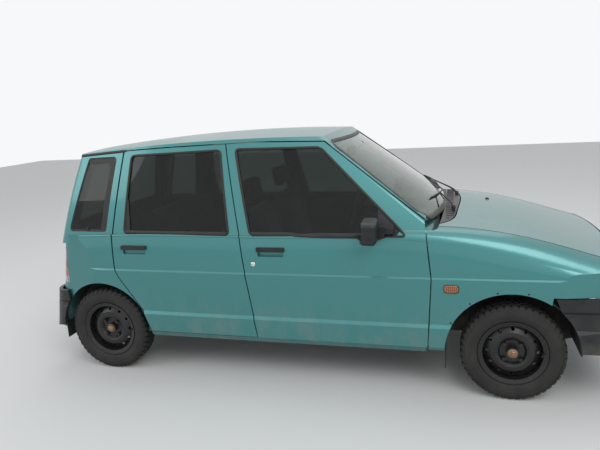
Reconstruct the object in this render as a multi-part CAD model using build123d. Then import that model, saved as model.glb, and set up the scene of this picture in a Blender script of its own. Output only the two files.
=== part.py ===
from build123d import *

# Five-door city car, built as an assembly of panels, glass, running gear and cabin pieces.
# Millimetres. +X points forward, +Y to the car's left, +Z up. The origin is on the ground,
# midway between the bumpers and between the two sides.
import os
from functools import lru_cache
from math import atan2, cos, degrees, radians, sin

os.makedirs("parts", exist_ok=True)

# Overall sizes
overall_length = 3340.0
overall_height = 1395.0
half_width = 700.0
wheelbase = 2335.0
rear_axle_x = -1270.0
front_axle_x = rear_axle_x + wheelbase
shut_gap = 6.0
seal_gap = 0.3

# Heights of the lines that run along the side
sill_bottom_z = 236.0
door_bottom_z = 274.0
low_crease_z = 402.0
crease_z = 652.0
belt_z = 866.0
gutter_z = 1357.0

# Wall thicknesses, measured inward from the outer skin
door_lower_thick = 70.0
door_upper_thick = 34.0
door_shoulder_drop = 16.0
door_top_drop = 24.0
door_skin_thick = 10.0
door_skin_drop = 9.0
door_flange = 16.0
door_lap = 12.0
post_lower_thick = 40.0
post_upper_thick = 34.0
post_ledge_thick = 5.0
post_end_thick = 36.0
fender_thick = 8.0
nose_thick = 20.0
roof_thick = 24.0
lamp_depth = 50.0
glass_thick = 5.0
glass_set_in = 5.0

# Tyres, rims and where they stand
tyre_radius = 256.0
tyre_width = 136.0
rim_flange_radius = 169.0
rim_width = 112.0
front_wheel_y = 610.0
rear_wheel_y = 600.0
front_arch_radius = 324.0
rear_arch_radius = 304.0
front_arch_x = front_axle_x - 8.0
rear_arch_x = rear_axle_x - 4.0
arch_z = 258.0

# Steering and door geometry
kingpin_y = 508.0
steer_limit = 33.0

# Sections of the lower body, front end last:
# x, half width, shoulder y, shoulder z, edge y, edge z, crown z
BODY_SECTIONS = [
    (-1680.0, 668.0, 640.0, 846.0, 628.0, 858.0, 862.0),
    (-1120.0, 694.0, 672.0, 850.0, 662.0, 860.0, 871.0),
    (-560.0, 700.0, 678.0, 850.0, 667.0, 861.0, 875.0),
    (0.0, 700.0, 680.0, 848.0, 664.0, 868.0, 895.0),
    (560.0, 700.0, 681.0, 842.0, 640.0, 894.0, 940.0),
    (1120.0, 697.0, 677.0, 750.0, 588.0, 843.0, 886.0),
    (1680.0, 672.0, 650.0, 676.0, 556.0, 692.0, 722.0),
]

# The cabin's walls start here, inside the lower body
cabin_base_z = 800.0

# Outlines of the cabin at three heights:
# z, front x, front y, front bow, middle x, middle y, rear x, rear y, rear bow
CABIN_OUTLINES = [
    (cabin_base_z, 808.7, 671.0, 107.9, -325.7, 683.0, -1539.3, 648.0, 45.9),
    (1100.0, 436.0, 575.0, 82.0, -380.0, 622.0, -1462.0, 592.0, 44.0),
    (1400.0, 50.0, 466.0, 40.0, -460.0, 536.0, -1376.0, 500.0, 36.0),
]
cabin_corner_radius = 42.0
screen_inset_share = 1.6

# Roof crown: one arc along the car and one across it
roof_peak_x = -380.0
roof_long_radius = 9500.0
roof_cross_radius = 7500.0

# Nose and tail in plan: corner x, corner y, bow, corner radius, lean per mm of height
NOSE_PLAN = (1572.0, 640.0, 44.0, 110.0, -0.13)
TAIL_PLAN = (-1592.0, 640.0, 44.0, 100.0, 0.18)
plan_base_z = 500.0
nose_limit_x = 1618.0
tail_limit_x = -1638.0

# Side view outlines (x, z) of the openings and panels on each side
gutter_line = [
    (108.0, 1346.0),
    (-295.0, 1361.0),
    (-441.0, 1356.5),
    (-793.0, 1350.0),
    (-1093.0, 1338.0),
    (-1319.0, 1323.0),
    (-1384.0, 1318.0),
]
front_door_outline = [
    (645.0, door_bottom_z),
    (665.0, 644.0),
    (634.0, 936.0),
    (104.0, 1340.0),
    (-295.0, 1355.0),
    (-438.0, 1351.0),
    (-355.0, 866.0),
    (-330.0, 653.0),
    (-284.0, door_bottom_z),
]
door_shut_line = [(x - shut_gap, z) for x, z in front_door_outline[:4:-1]]
rear_door_low_edge = [(-1132.0, 606.0), (-998.0, 404.0)]
rear_door_lift = 3.0
rear_door_back_edge = [(-793.0, 1344.0), (-1076.0, 1332.5), (-1157.0, 866.0), (-1154.0, 660.0)]
rear_door_hole_edge = [(-793.0, 1344.0), (-1080.0, 1333.0), (-1160.0, 866.0), (-1156.0, 660.0)]
rear_door_foot = [
    (-958.0, door_bottom_z + rear_door_lift),
    (door_shut_line[0][0], door_bottom_z + rear_door_lift),
]
rear_door_outline = door_shut_line[1:] + rear_door_back_edge + rear_door_low_edge + rear_door_foot
rear_door_hole = door_shut_line + rear_door_hole_edge + rear_door_low_edge + [(-958.0, door_bottom_z)]
front_window_outline = [(-293.0, 869.0), (541.0, 866.0), (84.0, 1312.0), (-381.0, 1320.0)]
rear_window_outline = [(-1080.0, 872.0), (-422.0, 868.0), (-473.0, 1318.0), (-1026.0, 1305.0)]
quarter_window_outline = [(-1470.0, 872.0), (-1206.0, 872.0), (-1127.0, 1306.0), (-1330.0, 1300.0)]
window_corner = 22.0

# Front view outlines (y, z) of the windscreen and the tailgate
screen_outline = [(-600.0, 934.0), (600.0, 934.0), (468.0, 1339.0), (-468.0, 1339.0)]
tailgate_outline = [
    (-506.0, 540.0),
    (506.0, 540.0),
    (506.0, 790.0),
    (560.0, 866.0),
    (452.0, 1312.0),
    (-452.0, 1312.0),
    (-560.0, 866.0),
    (-506.0, 790.0),
]
tail_window_outline = [(-508.0, 892.0), (508.0, 892.0), (418.0, 1268.0), (-418.0, 1268.0)]

# Hood: plan outline, from its rear edge at the middle
hood_rear_points = [(650.0, 588.0), (762.0, 500.0), (796.0, 340.0), (818.0, 0.0)]
hood_side_y = 590.0
hood_front_y = 574.0
hood_front_x = 1528.0
hood_front_bow = 42.0
cowl_half = 585.0
cowl_rear_x = 600.0
cowl_front_x = 830.0

# Lamps and grille on the nose, and the bumpers
lamp_inner_y = 392.0
lamp_outer_y = 604.0
lamp_low_z = 574.0
lamp_high_z = 676.0
grille_low_z = 582.0
grille_high_z = 668.0
grille_slats = 4
bumper_stand = 52.0
front_bumper_low_z = 281.0
front_bumper_high_z = 562.0
rear_bumper_low_z = 262.0
rear_bumper_high_z = 502.0

bumper_side_stand = 3.0
grille_half = 380.0
corner_lamp_rear_x = 1470.0
tail_lamp_inner_y = 517.0
tail_lamp_front_x = -1512.0
tail_lamp_low_z = 548.0
tail_lamp_high_z = 758.0
front_bumper_outline = [(1253.0, 562.0), (1367.0, 281.0), (1700.0, 281.0), (1700.0, 562.0)]
rear_bumper_outline = [(-1520.0, 502.0), (-1700.0, 502.0), (-1700.0, 262.0), (-1480.0, 262.0)]
fender_low_z = 250.0
fender_back_edge = [(x + shut_gap, z) for x, z in front_door_outline[:3]]
fender_outline = [
    (fender_back_edge[0][0], fender_low_z),
    *fender_back_edge[1:],
    (660.0, 980.0),
    (1540.0, 980.0),
    (1540.0, 567.0),
    (1240.0, 567.0),
    (1200.0, fender_low_z),
]

# Door handles and mirror sail
handle_length = 160.0
handle_rear_x = {"front": -258.0, "rear": -1093.0}
sail_outline = [(400.0, 869.0), (539.0, 867.0), (400.0, 1003.0)]
mirror_outline = [(-694.0, 846.0), (-826.0, 852.0), (-848.0, 964.0), (-702.0, 972.0)]
mirror_rear_x = 344.0

# Wipers: pivot x, pivot y, then three points (x, y, z) on the glass under the blade
WIPERS = [
    (776.0, -330.0, (648.0, -270.0, 985.0), (683.0, -67.5, 971.5), (697.6, 135.0, 958.0)),
    (794.0, 135.0, (683.9, 190.0, 965.0), (635.7, 367.5, 982.5), (571.0, 545.0, 1000.0)),
]
wiper_pivot_radius = 8.0
wiper_pivot_low_z = 900.0
wiper_pivot_top_z = 952.0
wiper_arm_radius = 4.0
blade_width = 7.0
blade_height = 13.0
blade_off_glass = 2.0
glass_lean = (0.6, 0.0, 0.8)

# Engine, and the shafts that leave its sides
engine_right_y = -330.0
engine_left_y = 340.0
shaft_end_y = 468.0
shaft_radius = 12.0

# Wheel details
spindle_radius = 17.0
spindle_end_y = 636.0
vent_count = 12
vent_circle = 122.0
vent_radius = 8.5
nut_count = 4
nut_circle = 57.0
strut_radius = 20.0
strut_top_z = 760.0
knuckle_radius = 31.0
knuckle_low_z = 200.0
knuckle_top_z = 332.0

# Steering wheel
steering_y = 300.0
dash_half = 512.0
steering_radius = 182.0
wheel_hub_x = 150.0
wheel_hub_z = 872.0
column_slope = 0.42

# Cabin floor in side view, from the toe board to the tail
floor_thick = 20.0
rear_floor_z = 410.0
spring_seat_z = 290.0
floor_run = [
    (688.0, 470.0),
    (600.0, 246.0),
    (-480.0, 246.0),
    (-530.0, 350.0),
    (-940.0, 372.0),
    (-1010.0, rear_floor_z + floor_thick),
    (-1615.0, rear_floor_z + floor_thick),
]
floor_half = 583.0
bulkhead_x = 690.0


def side_prism(points, low_y, high_y, radius=0.0):
    """An outline in side view (x, z) carried from low_y to high_y."""
    face = make_face(Polyline(*points, close=True))
    if radius:
        face = fillet(face.vertices(), radius)
    plane = Plane(origin=(0, high_y, 0), x_dir=(1, 0, 0), z_dir=(0, -1, 0))
    return extrude(plane * face, high_y - low_y)


def front_prism(points, low_x, high_x, radius=0.0):
    """An outline in front view (y, z) carried from low_x to high_x."""
    face = make_face(Polyline(*points, close=True))
    if radius:
        face = fillet(face.vertices(), radius)
    plane = Plane(origin=(low_x, 0, 0), x_dir=(0, 1, 0), z_dir=(1, 0, 0))
    return extrude(plane * face, high_x - low_x)


def block(low, high):
    """A box from its low corner to its high corner."""
    size = [b - a for a, b in zip(low, high)]
    centre = [(a + b) / 2 for a, b in zip(low, high)]
    return Pos(*centre) * Box(*size)


def rod(start, end, radius, inner=0.0):
    """A round bar or tube between two points."""
    line = Vector(*end) - Vector(*start)
    plane = Plane(origin=start, z_dir=line)
    bar = extrude(plane * Circle(radius), line.length)
    if inner:
        bar -= extrude(plane * Circle(inner), line.length)
    return bar


def mirrored(shape):
    """The same piece on the car's other side."""
    return mirror(shape, about=Plane.XZ)


def body_section(x, half, shoulder_y, shoulder_z, edge_y, edge_z, crown_z, inset, drop):
    """One cross-section of the lower body, pulled in by inset at the sides and drop on top."""
    narrow = half - half_width - inset
    if abs(inset) < fender_thick:
        side = [
            (656.0, sill_bottom_z),
            (675.0, door_bottom_z - 4.0),
            (689.0, door_bottom_z + 1.0),
            (697.0, low_crease_z - 18.0),
            (688.0, low_crease_z),
            (half_width, crease_z - 4.0),
            (693.0, crease_z + 4.0),
        ]
    else:
        side = [(656.0, sill_bottom_z), (686.0, 330.0), (695.0, crease_z)]
    points = [(y + narrow, z) for y, z in side]
    shoulder = (shoulder_y - inset, shoulder_z - drop)
    edge = (edge_y - inset, edge_z - drop)
    last = points[-1]
    middle = ((last[0] + shoulder[0]) / 2 + 4.0, (last[1] + shoulder[1]) / 2)
    bend = (edge[0] * 0.42 + shoulder[0] * 0.58 + 5.0, edge[1] * 0.62 + shoulder[1] * 0.38 + 3.0)
    chain = []
    for sign in (1, -1):
        run = [(sign * y, z) for y, z in points]
        top = [(sign * y, z) for y, z in (middle, shoulder, bend, edge)]
        chain += [Line(a, b) for a, b in zip(run, run[1:])]
        chain.append(ThreePointArc(run[-1], top[0], top[1]))
        chain.append(ThreePointArc(top[1], top[2], top[3]))
    chain.append(ThreePointArc(edge, (0, crown_z - drop), (-edge[0], edge[1])))
    chain.append(Line(points[0], (-points[0][0], points[0][1])))
    plane = Plane(origin=(x, 0, 0), x_dir=(0, 1, 0), z_dir=(1, 0, 0))
    return plane * make_face(chain)


def end_plan(corner_x, corner_y, bow, radius, lean, inset):
    """Everything behind the nose, or ahead of the tail, as a leaning block in plan."""
    sign = 1 if corner_x > 0 else -1
    cx = corner_x - sign * inset
    cy = min(corner_y - inset, corner_y + 20.0)
    flare = 712.0
    waist_x = sign * 1180.0
    far_x = -sign * 1900.0
    tip = ThreePointArc((cx, -cy), (cx + sign * bow, 0), (cx, cy))
    left_run = [(cx, cy), (waist_x, flare), (far_x, flare)]
    rest = Polyline(*left_run, *[(x, -y) for x, y in left_run[::-1]])
    face = make_face([tip, *rest.edges()])
    face = fillet([v for v in face.vertices() if abs(v.X - cx) < 1], radius)
    low = 150.0 - plan_base_z
    tall = 1000.0
    foot = Pos(lean * low, 0, plan_base_z + low) * face
    return loft([foot, Pos(lean * tall, 0, tall) * foot])


@lru_cache(maxsize=None)
def lower_body(inset=0.0, drop=0.0, end_inset=None):
    """The lower body from nose to tail, up to the belt line and over the hood."""
    ends = inset if end_inset is None else end_inset
    limits = block((tail_limit_x + ends, -900.0, 0.0), (nose_limit_x - ends, 900.0, 1200.0))
    limits = limits & end_plan(*NOSE_PLAN, ends) & end_plan(*TAIL_PLAN, ends)
    return loft([body_section(*row, inset, drop) for row in BODY_SECTIONS]) & limits


def cabin_outline(z, front_x, front_y, front_bow, mid_x, mid_y, rear_x, rear_y, rear_bow, inset):
    """The plan outline of the cabin at one height."""
    fx = front_x - inset * screen_inset_share
    fy = front_y - inset
    rx = rear_x + inset
    ry = rear_y - inset
    edges = [
        ThreePointArc((fx, -fy), (fx + front_bow, 0), (fx, fy)),
        ThreePointArc((fx, fy), (mid_x, mid_y - inset), (rx, ry)),
        ThreePointArc((rx, ry), (rx - rear_bow, 0), (rx, -ry)),
        ThreePointArc((rx, -ry), (mid_x, -mid_y + inset), (fx, -fy)),
    ]
    face = make_face(edges)
    face = fillet(face.vertices(), max(cabin_corner_radius - inset * 0.4, 12.0))
    return Plane.XY.offset(z) * face


def roof_dome(drop=0.0):
    """Everything under the roof's doubly curved crown."""
    top = overall_height - drop
    reach = 1900.0
    fall = reach**2 / (2 * roof_long_radius)
    low = 500.0
    tail_end = (roof_peak_x - reach, top - fall)
    nose_end = (roof_peak_x + reach, top - fall)
    arc = ThreePointArc(tail_end, (roof_peak_x, top), nose_end)
    base = Polyline(nose_end, (nose_end[0], low), (tail_end[0], low), tail_end)
    face = Plane.XZ * make_face([arc, *base.edges()])
    axis = Axis((0, 0, overall_height - roof_cross_radius), (1, 0, 0))
    return revolve(face, axis, 18.0).rotate(axis, -9.0)


@lru_cache(maxsize=None)
def cabin(inset=0.0, drop=0.0, lift=0.0):
    """The glasshouse, from below the belt line up to the roof, with its foot lifted where asked."""
    walls = loft([cabin_outline(*row, inset) for row in CABIN_OUTLINES])
    dome = roof_dome(drop)
    if lift:
        dome &= block((-1900.0, -900.0, cabin_base_z + lift), (1900.0, 900.0, 1500.0))
    return walls & dome


def union(shapes):
    """One solid or group from a list of pieces that touch."""
    total = shapes[0]
    for shape in shapes[1:]:
        total = total + shape
    return total


def round_bar(x, y, z, radius, length):
    """A cylinder lying along the car's width, centred on the point given."""
    return Pos(x, y, z) * Rot(90, 0, 0) * Cylinder(radius, length)


def side_cut(points, low_y, high_y, grow=0.0, radius=0.0):
    """A side view outline as a cutting block, grown by a margin and with rounded corners."""
    face = make_face(Polyline(*points, close=True))
    if radius:
        face = fillet(face.vertices(), radius)
    if grow:
        face = offset(face, grow, kind=Kind.INTERSECTION)
    plane = Plane(origin=(0, high_y, 0), x_dir=(1, 0, 0), z_dir=(0, -1, 0))
    return extrude(plane * face, high_y - low_y)


def front_cut(points, low_x, high_x, grow=0.0, radius=0.0):
    """A front view outline as a cutting block, grown by a margin and with rounded corners."""
    face = make_face(Polyline(*points, close=True))
    if radius:
        face = fillet(face.vertices(), radius)
    if grow:
        face = offset(face, grow, kind=Kind.INTERSECTION)
    plane = Plane(origin=(low_x, 0, 0), x_dir=(0, 1, 0), z_dir=(1, 0, 0))
    return extrude(plane * face, high_x - low_x)


pieces = {}


def add(name, *shapes):
    """Store the solids of one node, leaving out slivers under a cubic centimetre."""
    found = []
    for shape in shapes:
        found += [s for s in shape.solids() if s.volume > 900.0]
    pieces[name] = found


# Skins
outer = lower_body() + cabin()
door_skin_inner = lower_body(door_skin_thick, door_skin_drop) + cabin(door_skin_thick, door_skin_drop)
door_inner = lower_body(door_lower_thick, door_shoulder_drop, 40.0) + cabin(door_upper_thick, door_top_drop)
post_drop = door_shoulder_drop + shut_gap + 1.0
post_outer = lower_body(door_lower_thick + shut_gap, post_drop, 40.0)
post_outer += cabin(door_upper_thick + shut_gap, door_top_drop + shut_gap, shut_gap)
post_lower = door_lower_thick + shut_gap + post_lower_thick
post_upper = door_upper_thick + shut_gap + post_upper_thick
cabin_hollow = lower_body(post_lower, post_drop + post_ledge_thick, post_end_thick)
post_inner = cabin_hollow + cabin(post_upper, roof_thick, 2 * shut_gap)
thin_inner = lower_body(fender_thick, fender_thick, fender_thick)
window_shell = cabin(glass_set_in, 10.0) - cabin(glass_set_in + glass_thick, 14.0)
right_half = block((-1800.0, -800.0, 100.0), (1800.0, 0.0, 1500.0))
right_outer = outer & right_half

front_arch = round_bar(front_arch_x, 0.0, arch_z, front_arch_radius, 1600.0)
rear_arch = round_bar(rear_arch_x, 0.0, arch_z, rear_arch_radius, 1600.0)
above_gutter = side_cut(
    [(300.0, 1345.0), *gutter_line, (-1500.0, 1317.0), (-1500.0, 1500.0), (300.0, 1500.0)],
    -800.0,
    800.0,
)
screen_zone = (100.0, 900.0)
screen_corner = 40.0
pillar_edge = 6.0
screen_cut = front_cut(screen_outline, *screen_zone, 0.0, screen_corner)
pillar_keep = front_cut(screen_outline, *screen_zone, pillar_edge, screen_corner)
door_limit_zone = (screen_zone[0] - shut_gap, screen_zone[1])
door_limit = front_cut(screen_outline, *door_limit_zone, pillar_edge + shut_gap, screen_corner)
tailgate_cut = front_cut(tailgate_outline, -1800.0, -1330.0)
tailgate_hole = front_cut(tailgate_outline, -1800.0, -1330.0 + shut_gap, shut_gap + 1.0)


def hood_plan(grow):
    """The hood's plan outline as a block, grown by a margin."""
    rear = [(x - grow, y - 0.7 * grow * y / hood_side_y) for x, y in hood_rear_points]
    side = hood_side_y + grow
    front_side = hood_front_y + grow
    front = hood_front_x + 1.5 * grow
    lefts = Spline(*rear[::-1], tangents=[(0, 1), (-1, 0.35)])
    rights = mirror(lefts, about=Plane.XZ)
    start = lefts @ 1
    end_left = (front, front_side)
    path = [
        lefts,
        Line((start.X, start.Y), (start.X, side)),
        Line((start.X, side), end_left),
        ThreePointArc(end_left, (front + hood_front_bow, 0), (front, -front_side)),
        Line((front, -front_side), (start.X, -side)),
        Line((start.X, -side), (start.X, -start.Y)),
        rights,
    ]
    return extrude(Plane.XY.offset(560.0) * make_face(path), 600.0)


def make_doors():
    """The right front and rear doors: an outer skin, a smaller inner box and a window opening."""
    side_y = (-800.0, -350.0)
    zone = block((-1300.0, -800.0, 200.0), (700.0, -350.0, 1400.0))
    skin_layer = (right_outer & zone) - door_skin_inner
    box_layer = (door_skin_inner & zone) - door_inner
    box_layer -= block((565.0, -600.0, 820.0), (700.0, -350.0, 960.0))
    cases = [
        ("front", front_door_outline, front_window_outline),
        ("rear", rear_door_outline, rear_window_outline),
    ]
    made = {}
    for name, outline, window in cases:
        skin = skin_layer & side_cut(outline, *side_y)
        box = box_layer & side_cut(outline, *side_y, -door_flange)
        slab = (skin + box) - side_cut(window, *side_y, 0.0, window_corner) - door_limit
        pane = window_shell & side_cut(window, *side_y, -seal_gap, window_corner)
        made[name] = (slab, pane)
    return made


def make_side_frame():
    """The right side of the shell: posts, sill, roof rail and rear quarter panel."""
    side_y = (-800.0, -300.0)
    deep_block = block((-1700.0, -800.0, 200.0), (640.0, -300.0, 1400.0))
    post_block = block((560.0, -800.0, 200.0), (bulkhead_x, -300.0, 930.0))
    frame = (right_outer & deep_block) - post_inner
    holes = []
    for outline in (front_door_outline, rear_door_hole):
        holes.append(side_cut(outline, *side_y, shut_gap) - post_outer - pillar_keep)
        holes.append(side_cut(outline, *side_y, -door_flange - door_lap))
    bumper_zone = block((-1700.0, -800.0, 200.0), (-1500.0, 0.0, rear_bumper_high_z + 4.0))
    holes += [
        side_cut(quarter_window_outline, *side_y, 0.0, window_corner),
        rear_arch,
        above_gutter,
        screen_cut,
        tailgate_hole,
        tail_lamp_block(seal_gap),
        block((-1700.0, -511.0, 200.0), (-1500.0, -300.0, 545.0)),
        bumper_zone - bumper_core,
    ]
    frame = frame - holes
    front_post = (post_outer & post_block) - post_inner
    front_post -= side_cut(front_door_outline, *side_y, -door_flange - door_lap)
    return frame + front_post


def tail_lamp_block(grow):
    """The right tail lamp's opening, grown by a margin."""
    low = (-1700.0, -800.0, tail_lamp_low_z - grow)
    high = (tail_lamp_front_x + grow, -tail_lamp_inner_y + grow, tail_lamp_high_z + grow)
    return block(low, high)


def head_lamp_block(grow):
    """The right headlamp's opening, grown by a margin."""
    low = (1400.0, -lamp_outer_y - grow, lamp_low_z - grow)
    high = (1700.0, -lamp_inner_y + grow, lamp_high_z + grow)
    return block(low, high)


def corner_lamp_block(grow):
    """The right corner indicator's opening, grown by a margin."""
    low = (corner_lamp_rear_x - grow, -800.0, lamp_low_z - grow)
    high = (1700.0, -lamp_outer_y - 4.0 + grow, lamp_high_z + grow)
    return block(low, high)


def grille_block(grow):
    """The grille's opening, grown by a margin."""
    low = (1400.0, -grille_half - grow, grille_low_z - grow)
    high = (1700.0, grille_half + grow, grille_high_z + grow)
    return block(low, high)


def repeater_block(grow):
    """The small indicator on the right front fender."""
    low = (732.0 - grow, -half_width, 582.0 - grow)
    high = (799.0 + grow, -690.0 + grow, 618.0 + grow)
    return block(low, high)


def make_wheelhouse(x, radius, inner_y, shell):
    """The liner over a right wheel: a half tube with an inner wall."""
    wall = 6.0
    ring = round_bar(x, -(inner_y + 800.0) / 2, arch_z, radius + wall, 800.0 - inner_y)
    ring -= round_bar(x, -(inner_y + wall + 800.0) / 2, arch_z, radius, 800.0 - inner_y - wall)
    ring &= block((x - 500.0, -800.0, arch_z - 6.0), (x + 500.0, 0.0, 900.0))
    return ring & shell


def revolve_about_axle(points, centre_y, x, z):
    """A profile of (radius, outward offset) turned about a right wheel's axle."""
    face = make_face(Polyline(*points, close=True))
    turned = revolve(Plane.XY * face, Axis.Y, 360.0)
    return Pos(x, -centre_y, z) * mirror(turned, about=Plane.XZ)


# Doors, in pairs
doors = make_doors()
for end in ("front", "rear"):
    slab, pane = doors[end]
    handle_x = handle_rear_x[end]
    pocket = block((handle_x + 6.0, -720.0, 748.0), (handle_x + handle_length - 6.0, -670.0, 794.0))
    slab -= fillet(pocket.edges().filter_by(Axis.Y), 9.0)
    grip = block((handle_x, -697.0, 775.0), (handle_x + handle_length, -684.0, 800.0))
    grip = fillet(grip.edges().filter_by(Axis.Y), 6.0)
    stem = block((handle_x + 20.0, -686.0, 778.0), (handle_x + handle_length - 20.0, -670.0, 793.0))
    grip += stem
    grip -= slab
    fittings = [grip]
    if end == "front":
        sail = (cabin(2.0, 6.0) - cabin(12.0, 16.0)) & side_cut(sail_outline, -800.0, -350.0, -seal_gap)
        pane -= side_cut(sail_outline, -800.0, -350.0, seal_gap)
        shell = front_cut(mirror_outline, mirror_rear_x, mirror_rear_x + 70.0, 0.0, 24.0)
        shell = fillet(shell.faces().sort_by(Axis.X)[-1].edges(), 20.0)
        arm = block((418.0, -706.0, 884.0), (486.0, -640.0, 912.0))
        neck = block((396.0, -716.0, 872.0), (440.0, -690.0, 922.0))
        mirror_body = (shell + neck + arm) - cabin(2.0, 6.0)
        glass_hole = front_cut(mirror_outline, mirror_rear_x - 10.0, mirror_rear_x + 5.0, -8.0, 24.0)
        mirror_body = ((mirror_body - glass_hole) + sail) - slab - pane
        fittings.append(mirror_body)
    add(f"door_{end}_right", slab)
    add(f"door_{end}_left", mirrored(slab))
    add(f"door_{end}_right_glass", pane)
    add(f"door_{end}_left_glass", mirrored(pane))
    add(f"door_{end}_right_fittings", *fittings)
    add(f"door_{end}_left_fittings", *[mirrored(f) for f in fittings])

# Bumper volumes
front_bumper_outer = lower_body(-bumper_side_stand, 0.0, -bumper_stand)
bumper_core = lower_body(22.0, 22.0, -12.0)
rear_bumper_outer = lower_body(-bumper_side_stand, 0.0, -32.0)

# Shell
side_frame = make_side_frame()
add("side_frames", side_frame, mirrored(side_frame))
quarter_pane = window_shell & side_cut(quarter_window_outline, -800.0, -300.0, -seal_gap, window_corner)
add("quarter_glass", quarter_pane, mirrored(quarter_pane))
add("windscreen", window_shell & front_cut(screen_outline, 60.0, 900.0, -seal_gap, screen_corner))
add("roof_panel", (cabin() & above_gutter) - cabin(roof_thick, roof_thick))

body = lower_body()
hood_hole = hood_plan(shut_gap)
nose_inner = lower_body(nose_thick, nose_thick)
hood = body & hood_plan(0.0) & block((500.0, -800.0, 600.0), (1700.0, 800.0, 1200.0))
hood_lip_shift = 12.0
add("hood", hood - Pos(hood_lip_shift, 0, 0) * nose_inner - cabin())

fender = (body & side_cut(fender_outline, -800.0, -300.0)) - thin_inner - hood_hole
cowl_gap = 2.0
fender -= [
    front_arch,
    cabin(),
    corner_lamp_block(seal_gap),
    head_lamp_block(seal_gap),
    repeater_block(0.0),
    block((cowl_rear_x, -cowl_half - cowl_gap, 860.0), (cowl_front_x, cowl_half + cowl_gap, 980.0)),
]
add("front_fenders", fender, mirrored(fender))

nose_high = block((1545.0, -800.0, 567.0), (1700.0, 800.0, 900.0))
nose_low = block((1500.0, -560.0, 300.0), (1700.0, 560.0, 567.0))
nose = (body & (nose_high + nose_low)) - nose_inner - hood_hole
lamp_cuts = [head_lamp_block(seal_gap), corner_lamp_block(seal_gap)]
lamp_cuts += [mirrored(cut) for cut in lamp_cuts]
nose -= lamp_cuts
nose -= grille_block(seal_gap)
add("nose_panel", nose)

# The lamps and grille are cut from slices of the body, each hollowed by the same slice moved inward
front_slice = body & block((1380.0, -800.0, 540.0), (1700.0, 800.0, 720.0))
rear_slice = body & block((-1700.0, -800.0, 280.0), (-1460.0, 800.0, 800.0))
corner_depth = lamp_depth * 0.7
head_lamp = (front_slice & head_lamp_block(0.0)) - Pos(-lamp_depth, 0, 0) * front_slice
add("headlamps", head_lamp, mirrored(head_lamp))
corner_lamp = (front_slice & corner_lamp_block(0.0)) - Pos(-corner_depth, corner_depth, 0) * front_slice
repeater = repeater_block(0.0)
add("indicators", corner_lamp, mirrored(corner_lamp), repeater, mirrored(repeater))
tail_lamp = (rear_slice & tail_lamp_block(0.0)) - Pos(corner_depth, corner_depth, 0) * rear_slice
add("tail_lamps", tail_lamp, mirrored(tail_lamp))

grille_set_in = 3.0
grille_thick = 31.0
grille_shell = Pos(-grille_set_in, 0, 0) * front_slice & grille_block(0.0)
grille_shell -= Pos(-grille_set_in - grille_thick, 0, 0) * front_slice
slat_pitch = (grille_high_z - grille_low_z) / grille_slats
for index in range(grille_slats):
    low = grille_low_z + (index + 0.5) * slat_pitch - slat_pitch * 0.3
    high = low + slat_pitch * 0.6
    grille_shell -= block((1400.0, -grille_half + 10.0, low), (1700.0, -8.0, high))
    grille_shell -= block((1400.0, 8.0, low), (1700.0, grille_half - 10.0, high))
add("grille", grille_shell)

front_zone = side_cut(front_bumper_outline, -800.0, 800.0)
groove_low = front_bumper_high_z - 74.0
groove = block((1000.0, -800.0, groove_low), (1700.0, 800.0, groove_low + 12.0))
groove -= lower_body(4.0, 0.0, -bumper_stand + 8.0)
mouth = block((1500.0, -330.0, 330.0), (1700.0, 330.0, 392.0))
front_bumper = (front_bumper_outer & front_zone) - bumper_core - front_arch - groove - mouth
add("front_bumper", front_bumper)

rear_zone = side_cut(rear_bumper_outline, -800.0, 800.0)
groove_low = rear_bumper_high_z - 74.0
groove = block((-1700.0, -800.0, groove_low), (-1400.0, 800.0, groove_low + 12.0))
groove -= lower_body(4.0, 0.0, -24.0)
add("rear_bumper", (rear_bumper_outer & rear_zone) - bumper_core - rear_arch - groove)

plate_recess = 10.0
tailgate = (outer & tailgate_cut) - door_inner
tailgate -= front_cut(tail_window_outline, -1800.0, -1300.0, 0.0, 40.0)
tailgate -= block((-1700.0, -270.0, 566.0), (-1600.0, 270.0, 690.0)) - Pos(plate_recess, 0, 0) * rear_slice
add("tailgate", tailgate)
add("tailgate_glass", window_shell & front_cut(tail_window_outline, -1800.0, -1300.0, -seal_gap, 40.0))
rear_panel = rear_slice & block((-1700.0, -506.0, 300.0), (-1500.0, 506.0, 534.0))
add("rear_panel", rear_panel - Pos(post_end_thick - seal_gap, 0, 0) * rear_slice)

cowl_block = block((cowl_rear_x, -cowl_half, 860.0), (cowl_front_x, cowl_half, 980.0))
cowl = (body & cowl_block) - nose_inner - hood_hole - cabin()
post_corner = side_frame & cowl_block
add("cowl_panel", cowl - post_corner - mirrored(post_corner))


def make_wiper(pivot_x, pivot_y, *contact):
    """One wiper: a pivot on the cowl, a cranked arm and a blade that follows the glass."""
    lift = Vector(*glass_lean) * (blade_off_glass + blade_height / 2)
    start, middle, end = [Vector(*point) + lift for point in contact]
    path = ThreePointArc(start, middle, end)
    section = Plane(origin=start, x_dir=Vector(*glass_lean), z_dir=path % 0)
    blade = sweep(section * Rectangle(blade_height, blade_width), path=path)
    pivot_height = wiper_pivot_top_z - wiper_pivot_low_z
    pivot = Pos(pivot_x, pivot_y, (wiper_pivot_top_z + wiper_pivot_low_z) / 2)
    pivot *= Cylinder(wiper_pivot_radius, pivot_height)
    shoulder = Vector(pivot_x, pivot_y, wiper_pivot_top_z - wiper_arm_radius)
    elbow = shoulder + (middle - shoulder) * 0.3 + Vector(*glass_lean) * 6.0
    tip = middle + Vector(*glass_lean) * (blade_height / 2)
    wiper = union([pivot, rod(shoulder, elbow, wiper_arm_radius), rod(elbow, tip, wiper_arm_radius), blade])
    wiper += Pos(*elbow) * Sphere(wiper_arm_radius)
    return wiper - Pos(0, 0, seal_gap) * (body & cowl_block)


add("wipers", *[make_wiper(*row) for row in WIPERS])

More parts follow.
